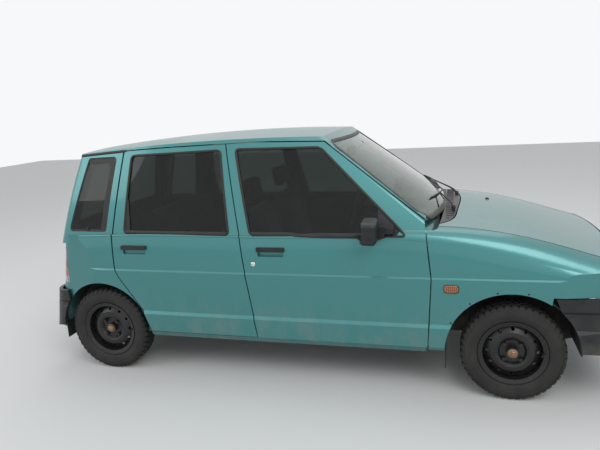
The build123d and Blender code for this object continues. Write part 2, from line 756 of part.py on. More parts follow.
# Floor, bulkhead and engine bay
floor_low = [(x, z - floor_thick) for x, z in floor_run[::-1]]
floor_pan = side_prism(floor_run + floor_low, -floor_half, floor_half)
floor_pan -= block((-1800.0, -900.0, 0.0), (-948.0, -472.0, 900.0))
floor_pan -= block((-1800.0, 472.0, 0.0), (-948.0, 900.0, 900.0))
floor_pan &= cabin_hollow
seat_rails = [
    block((-240.0, side * 300.0 + rail - 14.0, 246.0), (200.0, side * 300.0 + rail + 14.0, 318.0))
    for side in (-1, 1)
    for rail in (-150.0, 150.0)
]
add("floor_pan", floor_pan, *seat_rails)

bulkhead = block((bulkhead_x, -800.0, 226.0), (bulkhead_x + 12.0, 800.0, 930.0))
bulkhead &= Pos(0, 0, -seal_gap) * nose_inner
rails = []
for side in (-1, 1):
    low_y, high_y = sorted((side * 352.0, side * 386.0))
    rails.append(block((bulkhead_x + 12.0, low_y, 300.0), (1520.0, high_y, 380.0)))
radiator = block((1462.0, -260.0, 310.0), (1490.0, 240.0, 640.0))
cross_rail = block((1490.0, -352.0, 300.0), (1520.0, 352.0, 360.0))
add("front_structure", union([bulkhead, *rails, cross_rail]))
add("radiator", radiator)

front_liner = make_wheelhouse(front_arch_x, front_arch_radius + 2.0, 386.0, thin_inner) - front_bumper
front_liner -= corner_lamp_block(2.0) + head_lamp_block(2.0)
tower_radius = 80.0
tower_bore = 72.0
tower = Cylinder(tower_radius, 180.0) - Pos(0, 0, -4.0) * Cylinder(tower_bore, 180.0)
tower = Pos(front_axle_x, -kingpin_y, 680.0) * tower
tower_hole = Pos(front_axle_x, -kingpin_y, 580.0) * Cylinder(tower_bore, 120.0)
front_liner = (front_liner + tower) - tower_hole
rear_liner = make_wheelhouse(rear_arch_x, rear_arch_radius + 2.0, 474.0, cabin_hollow)
front_liner -= round_bar(front_axle_x, 0.0, tyre_radius, 46.0, 1400.0)
rear_liner -= round_bar(rear_axle_x, 0.0, tyre_radius, 66.0, 1400.0)
add("wheelhouses", front_liner, mirrored(front_liner), rear_liner, mirrored(rear_liner))

engine = block((850.0, engine_right_y, 250.0), (1240.0, engine_left_y, 560.0))
engine += block((900.0, -250.0, 560.0), (1180.0, 190.0, 730.0))
add("engine_block", engine)

tank = block((-930.0, -300.0, 205.0), (-560.0, 380.0, 326.0))
tank = fillet(tank.edges(), 24.0)
for y in (-200.0, 280.0):
    tank += block((-595.0, y - 20.0, 310.0), (-575.0, y + 20.0, 332.1))
add("fuel_tank", tank)
pipe_points = [
    (810.0, -150.0, 203.0),
    (-420.0, -150.0, 203.0),
    (-620.0, -380.0, 205.0),
    (-1010.0, -380.0, 240.0),
    (-1120.0, -300.0, 345.0),
    (-1380.0, -300.0, 340.0),
]
pipe_path = FilletPolyline(*pipe_points, radius=60.0)
pipe = sweep(Plane(origin=pipe_points[0], z_dir=pipe_path % 0) * Circle(19.0), path=pipe_path)
muffler = Pos(-1480.0, -120.0, 310.0) * Rot(90, 0, 0) * extrude(Ellipse(70.0, 46.0), 210.0, both=True)
link = rod((-1380.0, -300.0, 340.0), (-1430.0, -300.0, 325.0), 19.0)
tail_pipe = rod((-1500.0, 40.0, 282.0), (-1632.0, 40.0, 266.0), 16.0, 13.0)
floor_low_z = floor_run[1][1] - floor_thick
hanger = block((-310.0, -158.0, 212.0), (-290.0, -142.0, floor_low_z - seal_gap))
add("exhaust", union([pipe, link, muffler, tail_pipe, hanger]))

# Running gear
rear_gear = [round_bar(rear_axle_x, 0.0, tyre_radius, 26.0, 2 * 531.0)]
for side in (-1, 1):
    low_y, high_y = sorted((side * 360.0, side * 466.0))
    seat_low = (rear_axle_x - 52.0, low_y, tyre_radius - 20.0)
    seat = block(seat_low, (rear_axle_x + 64.0, high_y, spring_seat_z))
    spring = Pos(rear_axle_x, side * 413.0, (spring_seat_z + rear_floor_z) / 2)
    spring_height = rear_floor_z - spring_seat_z
    rear_gear.append(seat)
    rear_gear.append(spring * (Cylinder(46.0, spring_height) - Cylinder(36.0, spring_height)))
    rear_gear.append(spring * Cylinder(17.0, spring_height))
    rear_gear.append(rod((rear_axle_x + 50.0, side * 440.0, 262.0), (-930.0, side * 440.0, 310.0), 15.0))
    rear_gear.append(Pos(-930.0, side * 440.0, 320.0) * Cylinder(22.0, 60.0))
    rear_gear.append(round_bar(rear_axle_x, side * 536.0, tyre_radius, 60.0, 10.0))
    rear_gear.append(round_bar(rear_axle_x, side * 576.0, tyre_radius, spindle_radius, 70.0))
add("rear_axle", union(rear_gear))

front_gear = []
for side in (-1, 1):
    reach = sorted((side * 250.0, side * (kingpin_y + 20.0)))
    arm = block((front_axle_x - 26.0, reach[0], 176.0), (front_axle_x + 26.0, reach[1], 194.0))
    stay = rod((front_axle_x, side * 425.0, 185.0), (1420.0, side * 364.0, 248.0), 11.0)
    low_y, high_y = sorted((side * 250.0, side * 290.0))
    bracket = block((front_axle_x - 26.0, low_y, 190.0), (front_axle_x + 26.0, high_y, 250.0 - seal_gap))
    rail_foot = rod((1420.0, side * 364.0, 240.0), (1420.0, side * 364.0, 300.0 - seal_gap), 11.0)
    front_gear.append(union([arm, stay, bracket, rail_foot]))
    strut_low_z = knuckle_top_z + seal_gap
    strut = Pos(front_axle_x, side * kingpin_y, 0) * union([
        Pos(0, 0, (strut_low_z + strut_top_z) / 2) * Cylinder(strut_radius, strut_top_z - strut_low_z),
        Pos(0, 0, 538.0) * Cylinder(60.0, 8.0),
        Pos(0, 0, 640.0) * (Cylinder(56.0, 200.0) - Cylinder(46.0, 200.0)),
        Pos(0, 0, 744.0) * Cylinder(60.0, 8.0),
    ])
    front_gear.append(strut)
    engine_y = engine_left_y + seal_gap if side > 0 else engine_right_y - seal_gap
    shaft_length = shaft_end_y - abs(engine_y)
    shaft_y = side * (shaft_end_y + abs(engine_y)) / 2
    front_gear.append(round_bar(front_axle_x, shaft_y, tyre_radius, shaft_radius, shaft_length))
add("front_suspension", *front_gear)

for name, side in (("right", -1), ("left", 1)):
    post = Pos(front_axle_x, side * kingpin_y, (knuckle_low_z + knuckle_top_z) / 2)
    post *= Cylinder(knuckle_radius, knuckle_top_z - knuckle_low_z)
    carrier = round_bar(front_axle_x, side * (kingpin_y + 28.0), tyre_radius, 36.0, 50.0)
    spindle_y = (spindle_end_y + kingpin_y + 48.0) / 2
    spindle_length = spindle_end_y - kingpin_y - 48.0
    spindle = round_bar(front_axle_x, side * spindle_y, tyre_radius, spindle_radius, spindle_length)
    arm_end = (front_axle_x - 110.0, side * (kingpin_y - 24.0), 240.0)
    steer_arm = rod((front_axle_x, side * kingpin_y, 250.0), arm_end, 9.0)
    add(f"knuckle_{name}", union([post, carrier, spindle, steer_arm]))

# Road wheels
flange = rim_flange_radius
half_rim = rim_width / 2
barrel = 150.0
rim_profile = [
    (spindle_radius + seal_gap, 2.0),
    (30.0, 2.0),
    (62.0, 14.0),
    (72.0, 27.0),
    (84.0, 33.0),
    (104.0, 30.0),
    (136.0, 12.0),
    (barrel - 4.0, 6.0),
    (barrel - 4.0, -half_rim + 6.0),
    (flange - 3.0, -half_rim),
    (flange, -half_rim),
    (flange, -half_rim + 4.0),
    (barrel, -half_rim + 12.0),
    (barrel, half_rim - 12.0),
    (flange, half_rim - 4.0),
    (flange, half_rim),
    (flange - 4.0, half_rim),
    (barrel - 4.0, half_rim - 8.0),
    (barrel - 4.0, 11.0),
    (136.0, 17.0),
    (104.0, 35.0),
    (84.0, 38.0),
    (70.0, 32.0),
    (60.0, 19.0),
    (30.0, 18.0),
    (spindle_radius + seal_gap, 18.0),
]
tyre_profile = [
    (154.6, -45.6),
    (170.0, -50.2),
    (175.0, -58.0),
    (205.0, -68.0),
    (238.0, -63.0),
    (250.0, -55.0),
    (tyre_radius, -44.0),
    (tyre_radius, 44.0),
    (250.0, 55.0),
    (238.0, 63.0),
    (205.0, 68.0),
    (175.0, 58.0),
    (170.0, 50.2),
    (154.6, 45.6),
    (154.6, 36.0),
    (176.0, 38.0),
    (206.0, 56.0),
    (236.0, 50.0),
    (244.0, 36.0),
    (244.0, -36.0),
    (236.0, -50.0),
    (206.0, -56.0),
    (176.0, -38.0),
    (154.6, -36.0),
]


def make_wheel(x, y, drum_low, hub_out):
    """A right wheel: rim with vents, nuts and hub, and its tyre."""
    rim = revolve_about_axle(rim_profile, y, x, tyre_radius)
    vents = []
    for index in range(vent_count):
        angle = index * 360.0 / vent_count
        place = Pos(x, -y - 20.0, tyre_radius) * Rot(0, angle, 0) * Pos(vent_circle, 0, 0) * Rot(90, 0, 0)
        vents.append(place * Cylinder(vent_radius, 60.0))
    rim = rim - vents
    nuts = []
    for index in range(nut_count):
        angle = 45.0 + index * 360.0 / nut_count
        place = Pos(x, -y - 28.0, tyre_radius) * Rot(0, angle, 0) * Pos(nut_circle, 0, 0) * Rot(90, 0, 0)
        nuts.append(place * extrude(RegularPolygon(10.5, 6), 10.0, both=True))
    hub = round_bar(x, -y - (hub_out + 12.0) / 2, tyre_radius, 28.0, hub_out - 12.0)
    hub -= round_bar(x, -y - 18.0, tyre_radius, spindle_radius + seal_gap, 26.0)
    drum_length = 14.0 - drum_low
    drum = round_bar(x, -y - (drum_low + 14.0) / 2 + 0.0, tyre_radius, 96.0, drum_length)
    drum -= round_bar(x, -y - (drum_low + 4.0) / 2, tyre_radius, 86.0, 4.0 - drum_low)
    drum -= round_bar(x, -y, tyre_radius, spindle_radius + seal_gap, 60.0)
    rim = union([rim, *nuts, hub, drum])
    tyre = revolve_about_axle(tyre_profile, y, x, tyre_radius)
    return rim, tyre


for end, x, y, drum_low, hub_out in (
    ("front", front_axle_x, front_wheel_y, -30.0, 52.0),
    ("rear", rear_axle_x, rear_wheel_y, -44.0, 40.0),
):
    rim, tyre = make_wheel(x, y, drum_low, hub_out)
    add(f"rim_{end}_right", rim)
    add(f"rim_{end}_left", mirrored(rim))
    add(f"tyre_{end}_right", tyre)
    add(f"tyre_{end}_left", mirrored(tyre))

flaps = []
for side in (-1, 1):
    low_y, high_y = sorted((side * 548.0, side * 660.0))
    flaps.append(block((733.0, low_y, 150.0), (738.0, high_y, fender_low_z - seal_gap)))
    flaps.append(block((-1575.0, low_y, 187.0), (-1571.0, high_y, 288.0)))
add("mud_flaps", *flaps)

# Cabin pieces
dash_outline = [
    (684.0, 640.0),
    (684.0, 880.0),
    (620.0, 892.0),
    (420.0, 872.0),
    (380.0, 830.0),
    (400.0, 700.0),
    (470.0, 640.0),
]
dash = side_prism(dash_outline, -dash_half, dash_half, 14.0)
dash &= Pos(0, 0, -3.0) * post_inner
column_end = (wheel_hub_x + 30.0, steering_y, wheel_hub_z - 12.6)
column = rod((430.0, steering_y, wheel_hub_z - (430.0 - wheel_hub_x) * column_slope), column_end, 34.0)
pod_outline = [(540.0, 860.0), (530.0, 915.0), (420.0, 920.0), (410.0, 860.0)]
pod = side_prism(pod_outline, steering_y - 160.0, steering_y + 160.0, 12.0)
add("dashboard", union([dash, column, pod]))

tilt = degrees(atan2(column_slope, 1.0))
wheel_axis = (-cos(radians(tilt)), 0, sin(radians(tilt)))
wheel_plane = Plane(origin=(wheel_hub_x, steering_y, wheel_hub_z), x_dir=(0, 1, 0), z_dir=wheel_axis)
ring = wheel_plane * Torus(steering_radius, 13.0)
boss = wheel_plane * Pos(0, 0, -8.0) * Cylinder(48.0, 30.0)
bars = wheel_plane * Pos(0, 0, -6.0) * Box(2 * steering_radius, 36.0, 12.0)
foot = wheel_plane * Pos(0, -steering_radius / 2, -6.0) * Box(46.0, steering_radius, 12.0)
add("steering_wheel", union([ring, boss, bars, foot]))

seats = []
for side in (-1, 1):
    centre = side * 300.0
    cushion = block((-230.0, centre - 225.0, 321.0), (250.0, centre + 225.0, 470.0))
    cushion = fillet(cushion.edges(), 30.0)
    back_outline = [(-190.0, 473.0), (-300.0, 473.0), (-425.0, 985.0), (-340.0, 990.0)]
    back = side_prism(back_outline, centre - 215.0, centre + 215.0)
    back = fillet(back.edges(), 26.0)
    rest_outline = [(-350.0, 993.0), (-425.0, 993.0), (-452.0, 1130.0), (-378.0, 1132.0)]
    rest = side_prism(rest_outline, centre - 115.0, centre + 115.0)
    seats += [cushion, back, fillet(rest.edges(), 18.0)]
add("front_seats", *seats)
rear_seat_half = 465.0
cushion_outline = [(-545.0, 354.0), (-945.0, 376.0), (-960.0, 480.0), (-535.0, 510.0)]
backrest_outline = [(-880.0, 513.0), (-1000.0, 500.0), (-1120.0, 960.0), (-1030.0, 965.0)]
rear_cushion = side_prism(cushion_outline, -rear_seat_half, rear_seat_half)
rear_back = side_prism(backrest_outline, -rear_seat_half, rear_seat_half)
add("rear_seat", fillet(rear_cushion.edges(), 20.0), fillet(rear_back.edges(), 20.0))

if __name__ == "__main__":
    for name, solids in pieces.items():
        shape = solids[0] if len(solids) == 1 else Compound(children=solids)
        print(name, len(solids), [round(s.volume / 1000) for s in solids], shape.is_valid)
        export_step(shape, f"parts/{name}.step")
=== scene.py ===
from math import cos, exp, pi, radians, sin

import bmesh
import bpy
from mathutils import Matrix, Vector


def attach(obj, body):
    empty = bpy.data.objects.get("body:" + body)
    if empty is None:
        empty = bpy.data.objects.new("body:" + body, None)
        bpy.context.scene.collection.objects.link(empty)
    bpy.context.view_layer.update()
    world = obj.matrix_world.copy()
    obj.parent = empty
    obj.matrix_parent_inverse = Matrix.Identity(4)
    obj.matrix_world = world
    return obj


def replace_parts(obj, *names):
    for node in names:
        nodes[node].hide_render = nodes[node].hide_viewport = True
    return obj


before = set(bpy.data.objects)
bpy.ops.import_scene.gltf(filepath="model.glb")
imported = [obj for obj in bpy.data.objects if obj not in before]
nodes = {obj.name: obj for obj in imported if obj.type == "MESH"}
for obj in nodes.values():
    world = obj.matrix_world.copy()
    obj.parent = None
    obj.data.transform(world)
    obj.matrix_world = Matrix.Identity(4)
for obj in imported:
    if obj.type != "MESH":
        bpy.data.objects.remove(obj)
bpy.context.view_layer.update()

bodySides = (("left", 1), ("right", -1))

# Places taken from the frame
frontAxleX = 1.065
rearAxleX = -1.270
hubZ = 0.256
frontWheelY = 0.610
rearWheelY = 0.600

# The camera stands where the photographer stood
camera = dict(place=(0.7797, -3.4327, 1.5519), yaw=0.2775, pitch=0.2162, roll=-0.0587, lens=33.35)
photoSize = (600.0, 450.0)
sensorWide = 36.0
light = dict(
    sky=0.62, skyColour=(0.86, 0.89, 0.92), key=130.0, fill=50.0, top=70.0, backdrop=(0.93, 0.94, 0.95),
    floor=(0.80, 0.80, 0.79), bounce=(0.38, 0.38, 0.37),
)
paint = dict(
    # faceOnSheen is a painted sheen: the lighter paint colour shown where a panel faces the viewer
    base=(0.014, 0.100, 0.102), faceOnSheen=(0.052, 0.262, 0.264), trim=(0.055, 0.056, 0.058),
    # film, the pale top colour of the roof and hood, with topFilm its strength: partly dust, partly a painted
    # sky reflection
    lining=(0.30, 0.295, 0.275), dust=(0.34, 0.33, 0.29), film=(0.50, 0.57, 0.56), topFilm=0.52, sideFilm=0.12,
)
rubber = dict(colour=(0.008, 0.008, 0.009), rough=0.5)
plastic = dict(colour=(0.007, 0.008, 0.009), rough=0.44)
glass = dict(tint=(0.15, 0.19, 0.17), screenTint=(0.42, 0.54, 0.48), ior=1.36)
steel = dict(colour=(0.009, 0.009, 0.010), rust=(0.16, 0.085, 0.045))
tyre = dict(colour=(0.014, 0.0135, 0.013), dust=(0.10, 0.092, 0.08))
# surface grain: scale, strength and depth
fineGrain = (900.0, 0.25, 0.0006)
coarseGrain = (700.0, 0.8, 0.002)


# Camera, floor and lamps
def makeCamera():
    yaw, pitch, roll = camera["yaw"], camera["pitch"], camera["roll"]
    forward = Vector((-sin(yaw) * cos(pitch), cos(yaw) * cos(pitch), -sin(pitch)))
    level = Vector((cos(yaw), sin(yaw), 0.0))
    upright = level.cross(forward)
    right = level * cos(roll) + upright * sin(roll)
    up = upright * cos(roll) - level * sin(roll)
    data = bpy.data.cameras.new("photoCamera")
    data.lens = camera["lens"]
    data.sensor_width = sensorWide
    data.dof.use_dof = False
    item = bpy.data.objects.new("photoCamera", data)
    turn = Matrix((right, up, -forward)).transposed().to_4x4()
    item.matrix_world = Matrix.Translation(camera["place"]) @ turn
    bpy.context.collection.objects.link(item)
    bpy.context.scene.camera = item


def pixelRay(x, y):
    # the line of sight through a point of the photograph
    item = bpy.context.scene.camera
    turn = item.matrix_world.to_3x3()
    perPixel = sensorWide / photoSize[0]
    across, up = x - photoSize[0] / 2, photoSize[1] / 2 - y
    aim = Vector((across * perPixel, up * perPixel, -camera["lens"]))
    return Vector(camera["place"]), (turn @ aim).normalized()


def areaLight(name, place, aim, size, power):
    data = bpy.data.lights.new(name, "AREA")
    data.shape = "RECTANGLE"
    data.size, data.size_y = size
    data.energy = power
    item = bpy.data.objects.new(name, data)
    line = Vector(aim) - Vector(place)
    item.rotation_euler = line.to_track_quat("-Z", "Y").to_euler()
    item.location = place
    bpy.context.collection.objects.link(item)


# Node helpers
def newMaterial(name):
    item = bpy.data.materials.new(name)
    item.use_nodes = True
    tree = item.node_tree
    tree.nodes.clear()
    out = tree.nodes.new("ShaderNodeOutputMaterial")
    shader = tree.nodes.new("ShaderNodeBsdfPrincipled")
    tree.links.new(shader.outputs[0], out.inputs[0])
    return item, tree, shader


def startGroup(name, inputs, outputs):
    tree = bpy.data.node_groups.new(name, "ShaderNodeTree")
    for title, value in inputs:
        tree.interface.new_socket(title, in_out="INPUT", socket_type="NodeSocketFloat").default_value = value
    for title in outputs:
        tree.interface.new_socket(title, in_out="OUTPUT", socket_type="NodeSocketFloat")
    start = tree.nodes.new("NodeGroupInput")
    end = tree.nodes.new("NodeGroupOutput")
    return tree, start, end


def feed(tree, socket, value):
    # a socket is linked, a number or colour is set
    if isinstance(value, bpy.types.NodeSocket):
        tree.links.new(value, socket)
    elif isinstance(value, (tuple, list)):
        socket.default_value = (*value[:3], 1.0)
    else:
        socket.default_value = value


def wire(node, name, value):
    feed(node.id_data, node.inputs[name], value)


def mixColour(tree, factor, a, b, mode="MIX"):
    node = tree.nodes.new("ShaderNodeMix")
    node.data_type = "RGBA"
    node.blend_type = mode
    for index, value in ((0, factor), (6, a), (7, b)):
        feed(tree, node.inputs[index], value)
    return node.outputs[2]


def maths(tree, operation, a, b=0.0, clamp=False):
    node = tree.nodes.new("ShaderNodeMath")
    node.operation = operation
    node.use_clamp = clamp
    feed(tree, node.inputs[0], a)
    feed(tree, node.inputs[1], b)
    return node.outputs[0]


def times(tree, a, b):
    return maths(tree, "MULTIPLY", a, b)


def seenDirectly(tree):
    # 1 where the viewer looks straight at it, in a reflection or through glass
    path = tree.nodes.new("ShaderNodeLightPath")
    seen = maths(tree, "ADD", path.outputs["Is Camera Ray"], path.outputs["Is Glossy Ray"], True)
    return maths(tree, "ADD", seen, path.outputs["Is Transmission Ray"], True)


def ramp(tree, value, low, high, outLow=0.0, outHigh=1.0):
    # a value moved from one range to another, with soft ends
    node = tree.nodes.new("ShaderNodeMapRange")
    node.interpolation_type = "SMOOTHSTEP"
    feed(tree, node.inputs[0], value)
    for index, number in ((1, low), (2, high), (3, outLow), (4, outHigh)):
        node.inputs[index].default_value = number
    return node.outputs[0]


def objectCoords(tree):
    return tree.nodes.new("ShaderNodeTexCoord").outputs["Object"]


def axes(tree, vector):
    node = tree.nodes.new("ShaderNodeSeparateXYZ")
    tree.links.new(vector, node.inputs[0])
    return node.outputs[0], node.outputs[1], node.outputs[2]


def noise(tree, scale, detail=4.0, rough=0.55, stretch=None):
    coords = objectCoords(tree)
    if stretch:
        mapping = tree.nodes.new("ShaderNodeMapping")
        mapping.inputs["Scale"].default_value = stretch
        tree.links.new(coords, mapping.inputs["Vector"])
        coords = mapping.outputs[0]
    node = tree.nodes.new("ShaderNodeTexNoise")
    tree.links.new(coords, node.inputs["Vector"])
    wire(node, "Scale", scale)
    wire(node, "Detail", detail)
    wire(node, "Roughness", rough)
    return node.outputs[0]


def bump(tree, height, strength, distance):
    node = tree.nodes.new("ShaderNodeBump")
    wire(node, "Strength", strength)
    wire(node, "Distance", distance)
    wire(node, "Height", height)
    return node.outputs[0]


def useGroup(tree, group, **values):
    node = tree.nodes.new("ShaderNodeGroup")
    node.node_tree = group
    for key, value in values.items():
        wire(node, key, value)
    return node


# Shared effects
def makeDustGroup():
    # road dust low down, a film on faces that look up, and fine specks; on the roof and hood paint the film is
    # partly a painted sky reflection
    inputs = [("splash", 1.0), ("topFilm", 0.4), ("specks", 0.3)]
    tree, start, end = startGroup("roadDust", inputs, ["mask"])
    coords = tree.nodes.new("ShaderNodeTexCoord")
    height = axes(tree, coords.outputs["Object"])[2]
    facing = axes(tree, coords.outputs["Normal"])[2]
    low = ramp(tree, height, 0.60, 0.24)
    patchy = ramp(tree, noise(tree, 9.0, 6.0, 0.62, (1.0, 1.0, 0.5)), 0.36, 0.74)
    lowDust = times(tree, times(tree, low, patchy), start.outputs["splash"])
    film = ramp(tree, noise(tree, 3.2, 5.0, 0.6), 0.3, 0.75, 0.6, 1.0)
    top = times(tree, ramp(tree, facing, 0.25, 0.95), film)
    topFilmMask = times(tree, top, start.outputs["topFilm"])
    fine = ramp(tree, noise(tree, 160.0, 3.0, 0.7), 0.62, 0.74)
    both = maths(tree, "MAXIMUM", lowDust, topFilmMask)
    speckled = maths(tree, "ADD", both, times(tree, fine, start.outputs["specks"]), True)
    wire(end, "mask", speckled)
    return tree


def makeInsideGroup():
    # 1 on faces that look towards the middle of the car or down from the roof
    tree, start, end = startGroup("cabinSide", [("reach", 1.0)], ["mask"])
    coords = tree.nodes.new("ShaderNodeTexCoord")
    y, z = axes(tree, coords.outputs["Object"])[1:]
    ny, nz = axes(tree, coords.outputs["Normal"])[1:]
    towardsMiddle = times(tree, times(tree, y, ny), -1.0)
    inward = ramp(tree, towardsMiddle, 0.12, 0.22)
    downward = times(tree, ramp(tree, nz, -0.45, -0.7), ramp(tree, z, 1.12, 1.2))
    either = maths(tree, "MAXIMUM", inward, downward)
    wire(end, "mask", times(tree, either, start.outputs["reach"]))
    return tree


def makeWeaveGroup():
    # an over and under weave, with its own scale
    tree, start, end = startGroup("clothWeave", [("scale", 1500.0)], ["height"])
    x, y, z = axes(tree, objectCoords(tree))
    across = maths(tree, "SINE", times(tree, y, start.outputs["scale"]))
    along = maths(tree, "SINE", times(tree, maths(tree, "ADD", x, z), start.outputs["scale"]))
    wire(end, "height", times(tree, across, along))
    return tree


# Finishes
def paintMaterial(name, topFilm, splash, trim, film):
    item, tree, shader = newMaterial(name)
    # painted sheen: lighter paint colour where a panel faces the viewer, darker base colour towards its edges
    weight = tree.nodes.new("ShaderNodeLayerWeight")
    wire(weight, "Blend", 0.32)
    facing = ramp(tree, weight.outputs["Facing"], 0.0, 0.9)
    colour = mixColour(tree, facing, paint["faceOnSheen"], paint["base"])
    sparkle = ramp(tree, noise(tree, 2600.0, 1.0, 0.5), 0.5, 0.72)
    colour = mixColour(tree, times(tree, sparkle, 0.10), colour, (0.25, 0.55, 0.50))
    scratches = ramp(tree, noise(tree, 7.0, 8.0, 0.7, (0.6, 1.0, 14.0)), 0.69, 0.74, 0.0, 0.35)
    colour = mixColour(tree, scratches, colour, (0.20, 0.40, 0.37))
    filmNode = useGroup(tree, groups["dust"], splash=splash, topFilm=topFilm, specks=0.045)
    mask = filmNode.outputs["mask"]
    # film colour over the mask: dust on the sides, dust and a painted sky reflection on the roof and hood
    colour = mixColour(tree, mask, colour, film)
    inside = useGroup(tree, groups["inside"]).outputs["mask"]
    colour = mixColour(tree, inside, colour, trim)
    wire(shader, "Base Color", colour)
    outside = maths(tree, "SUBTRACT", 1.0, inside)
    wire(shader, "Metallic", times(tree, outside, 0.42))
    rough = ramp(tree, mask, 0.0, 0.8, 0.33, 0.72)
    wire(shader, "Roughness", maths(tree, "ADD", rough, times(tree, inside, 0.4), True))
    gloss = ramp(tree, mask, 0.0, 0.6, 0.7, 0.12)
    wire(shader, "Coat Weight", times(tree, gloss, outside))
    wire(shader, "Coat Roughness", 0.07)
    wire(shader, "Normal", bump(tree, noise(tree, 220.0, 2.0, 0.5), 0.02, 0.002))
    return item


def plainMaterial(name, colour, rough, metallic=0.0, splash=0.4, top=0.2, grain=fineGrain, specks=0.08):
    # plastic, rubber or bare metal with a fine grain, fading and some dust
    item, tree, shader = newMaterial(name)
    clouds = noise(tree, 14.0, 5.0, 0.6)
    worn = [min(1.0, c * 1.8 + 0.010) for c in colour]
    body = mixColour(tree, ramp(tree, clouds, 0.35, 0.8), colour, worn)
    filmNode = useGroup(tree, groups["dust"], splash=splash, topFilm=top, specks=specks)
    body = mixColour(tree, filmNode.outputs["mask"], body, [c * 0.62 for c in paint["dust"]])
    wire(shader, "Base Color", body)
    wire(shader, "Metallic", metallic)
    wire(shader, "Roughness", ramp(tree, clouds, 0.3, 0.7, rough - 0.06, rough + 0.08))
    wire(shader, "Normal", bump(tree, noise(tree, grain[0], 3.0, 0.6), grain[1], grain[2]))
    return item


def glassMaterial(name, tint, film, rough):
    # safety glass with a dusty film; lamps shine straight through it
    item, tree, shader = newMaterial(name)
    dusty = ramp(tree, noise(tree, 4.0, 6.0, 0.65), 0.35, 0.8, 0.0, film)
    body = mixColour(tree, dusty, tint, (0.55, 0.56, 0.52))
    wire(shader, "Base Color", body)
    if rough:
        wire(shader, "Roughness", ramp(tree, noise(tree, 11.0, 5.0, 0.6), 0.35, 0.8, 0.0, rough))
    else:
        wire(shader, "Roughness", 0.0)
    wire(shader, "Transmission Weight", 1.0)
    wire(shader, "IOR", glass["ior"])
    clear = tree.nodes.new("ShaderNodeBsdfTransparent")
    wire(clear, "Color", [c ** 0.5 for c in tint])
    path = tree.nodes.new("ShaderNodeLightPath")
    mix = tree.nodes.new("ShaderNodeMixShader")
    tree.links.new(path.outputs["Is Shadow Ray"], mix.inputs[0])
    tree.links.new(shader.outputs[0], mix.inputs[1])
    tree.links.new(clear.outputs[0], mix.inputs[2])
    out = next(node for node in tree.nodes if node.type == "OUTPUT_MATERIAL")
    tree.links.new(mix.outputs[0], out.inputs[0])
    return item


def lensMaterial(name, bands, flutes, depth):
    # moulded lamp lens over a bright bowl: bands are (lowest height, colour), lowest first
    item, tree, shader = newMaterial(name)
    x, y, z = axes(tree, objectCoords(tree))
    body = bands[0][1]
    for height, colour in bands[1:]:
        body = mixColour(tree, ramp(tree, z, height - 0.0015, height + 0.0015), body, colour)
    slanted = maths(tree, "ADD", y, times(tree, x, 0.8))
    wave = maths(tree, "SINE", times(tree, slanted, flutes))
    cross = maths(tree, "SINE", times(tree, z, flutes * 0.55))
    shade = times(tree, ramp(tree, wave, -1.0, 1.0), ramp(tree, cross, -1.0, 1.0, 0.55, 1.0))
    dark = mixColour(tree, 1.0, body, (0.30, 0.30, 0.30), "MULTIPLY")
    wire(shader, "Base Color", mixColour(tree, shade, dark, body))
    wire(shader, "Roughness", 0.14)
    wire(shader, "Coat Weight", 1.0)
    wire(shader, "Coat Roughness", 0.03)
    height = maths(tree, "ADD", wave, times(tree, cross, 0.4))
    wire(shader, "Normal", bump(tree, height, depth, 0.0015))
    return item


def clothMaterial(name, colour, second):
    item, tree, shader = newMaterial(name)
    weave = useGroup(tree, groups["weave"], scale=1500.0).outputs["height"]
    y = axes(tree, objectCoords(tree))[1]
    stripes = ramp(tree, maths(tree, "SINE", times(tree, y, 190.0)), 0.75, 0.95, 0.0, 0.5)
    body = mixColour(tree, ramp(tree, weave, -0.6, 0.6), colour, second)
    body = mixColour(tree, stripes, body, [c * 1.7 for c in second])
    body = mixColour(tree, ramp(tree, noise(tree, 7.0), 0.4, 0.8, 0.0, 0.35), body, [c * 0.5 for c in colour])
    wire(shader, "Base Color", body)
    wire(shader, "Roughness", 0.9)
    wire(shader, "Sheen Weight", 0.3)
    wire(shader, "Normal", bump(tree, weave, 0.4, 0.001))
    return item


def wheelSteel(name, x):
    # black painted wheel, with wear on the bead and rust at the middle
    item, tree, shader = newMaterial(name)
    px, _, pz = axes(tree, objectCoords(tree))
    dx = maths(tree, "SUBTRACT", px, x)
    dz = maths(tree, "SUBTRACT", pz, hubZ)
    radius = maths(tree, "SQRT", maths(tree, "ADD", times(tree, dx, dx), times(tree, dz, dz)))
    clouds = noise(tree, 30.0, 6.0, 0.65)
    body = mixColour(tree, ramp(tree, clouds, 0.5, 0.75, 0.0, 0.5), steel["colour"], (0.028, 0.022, 0.018))
    centre = mixColour(tree, ramp(tree, clouds, 0.35, 0.65), steel["rust"], (0.34, 0.27, 0.19))
    middle = ramp(tree, radius, 0.0265, 0.0235)
    body = mixColour(tree, middle, body, centre)
    filmNode = useGroup(tree, groups["dust"], splash=0.3, topFilm=0.2, specks=0.10)
    body = mixColour(tree, times(tree, filmNode.outputs["mask"], 0.4), body, (0.10, 0.09, 0.075))
    wire(shader, "Base Color", body)
    wire(shader, "Roughness", ramp(tree, clouds, 0.3, 0.7, 0.20, 0.42))
    wire(shader, "Normal", bump(tree, noise(tree, 420.0), 0.10, 0.0006))
    return item


def tyreMaterial(name):
    item, tree, shader = newMaterial(name)
    clouds = noise(tree, 18.0, 6.0, 0.65)
    body = mixColour(tree, ramp(tree, clouds, 0.35, 0.7), tyre["colour"], [c * 1.6 for c in tyre["colour"]])
    filmNode = useGroup(tree, groups["dust"], splash=0.5, topFilm=0.15, specks=0.2)
    body = mixColour(tree, times(tree, filmNode.outputs["mask"], 0.5), body, tyre["dust"])
    wire(shader, "Base Color", body)
    wire(shader, "Roughness", 0.72)
    wire(shader, "Normal", bump(tree, noise(tree, 500.0), 0.25, 0.001))
    return item


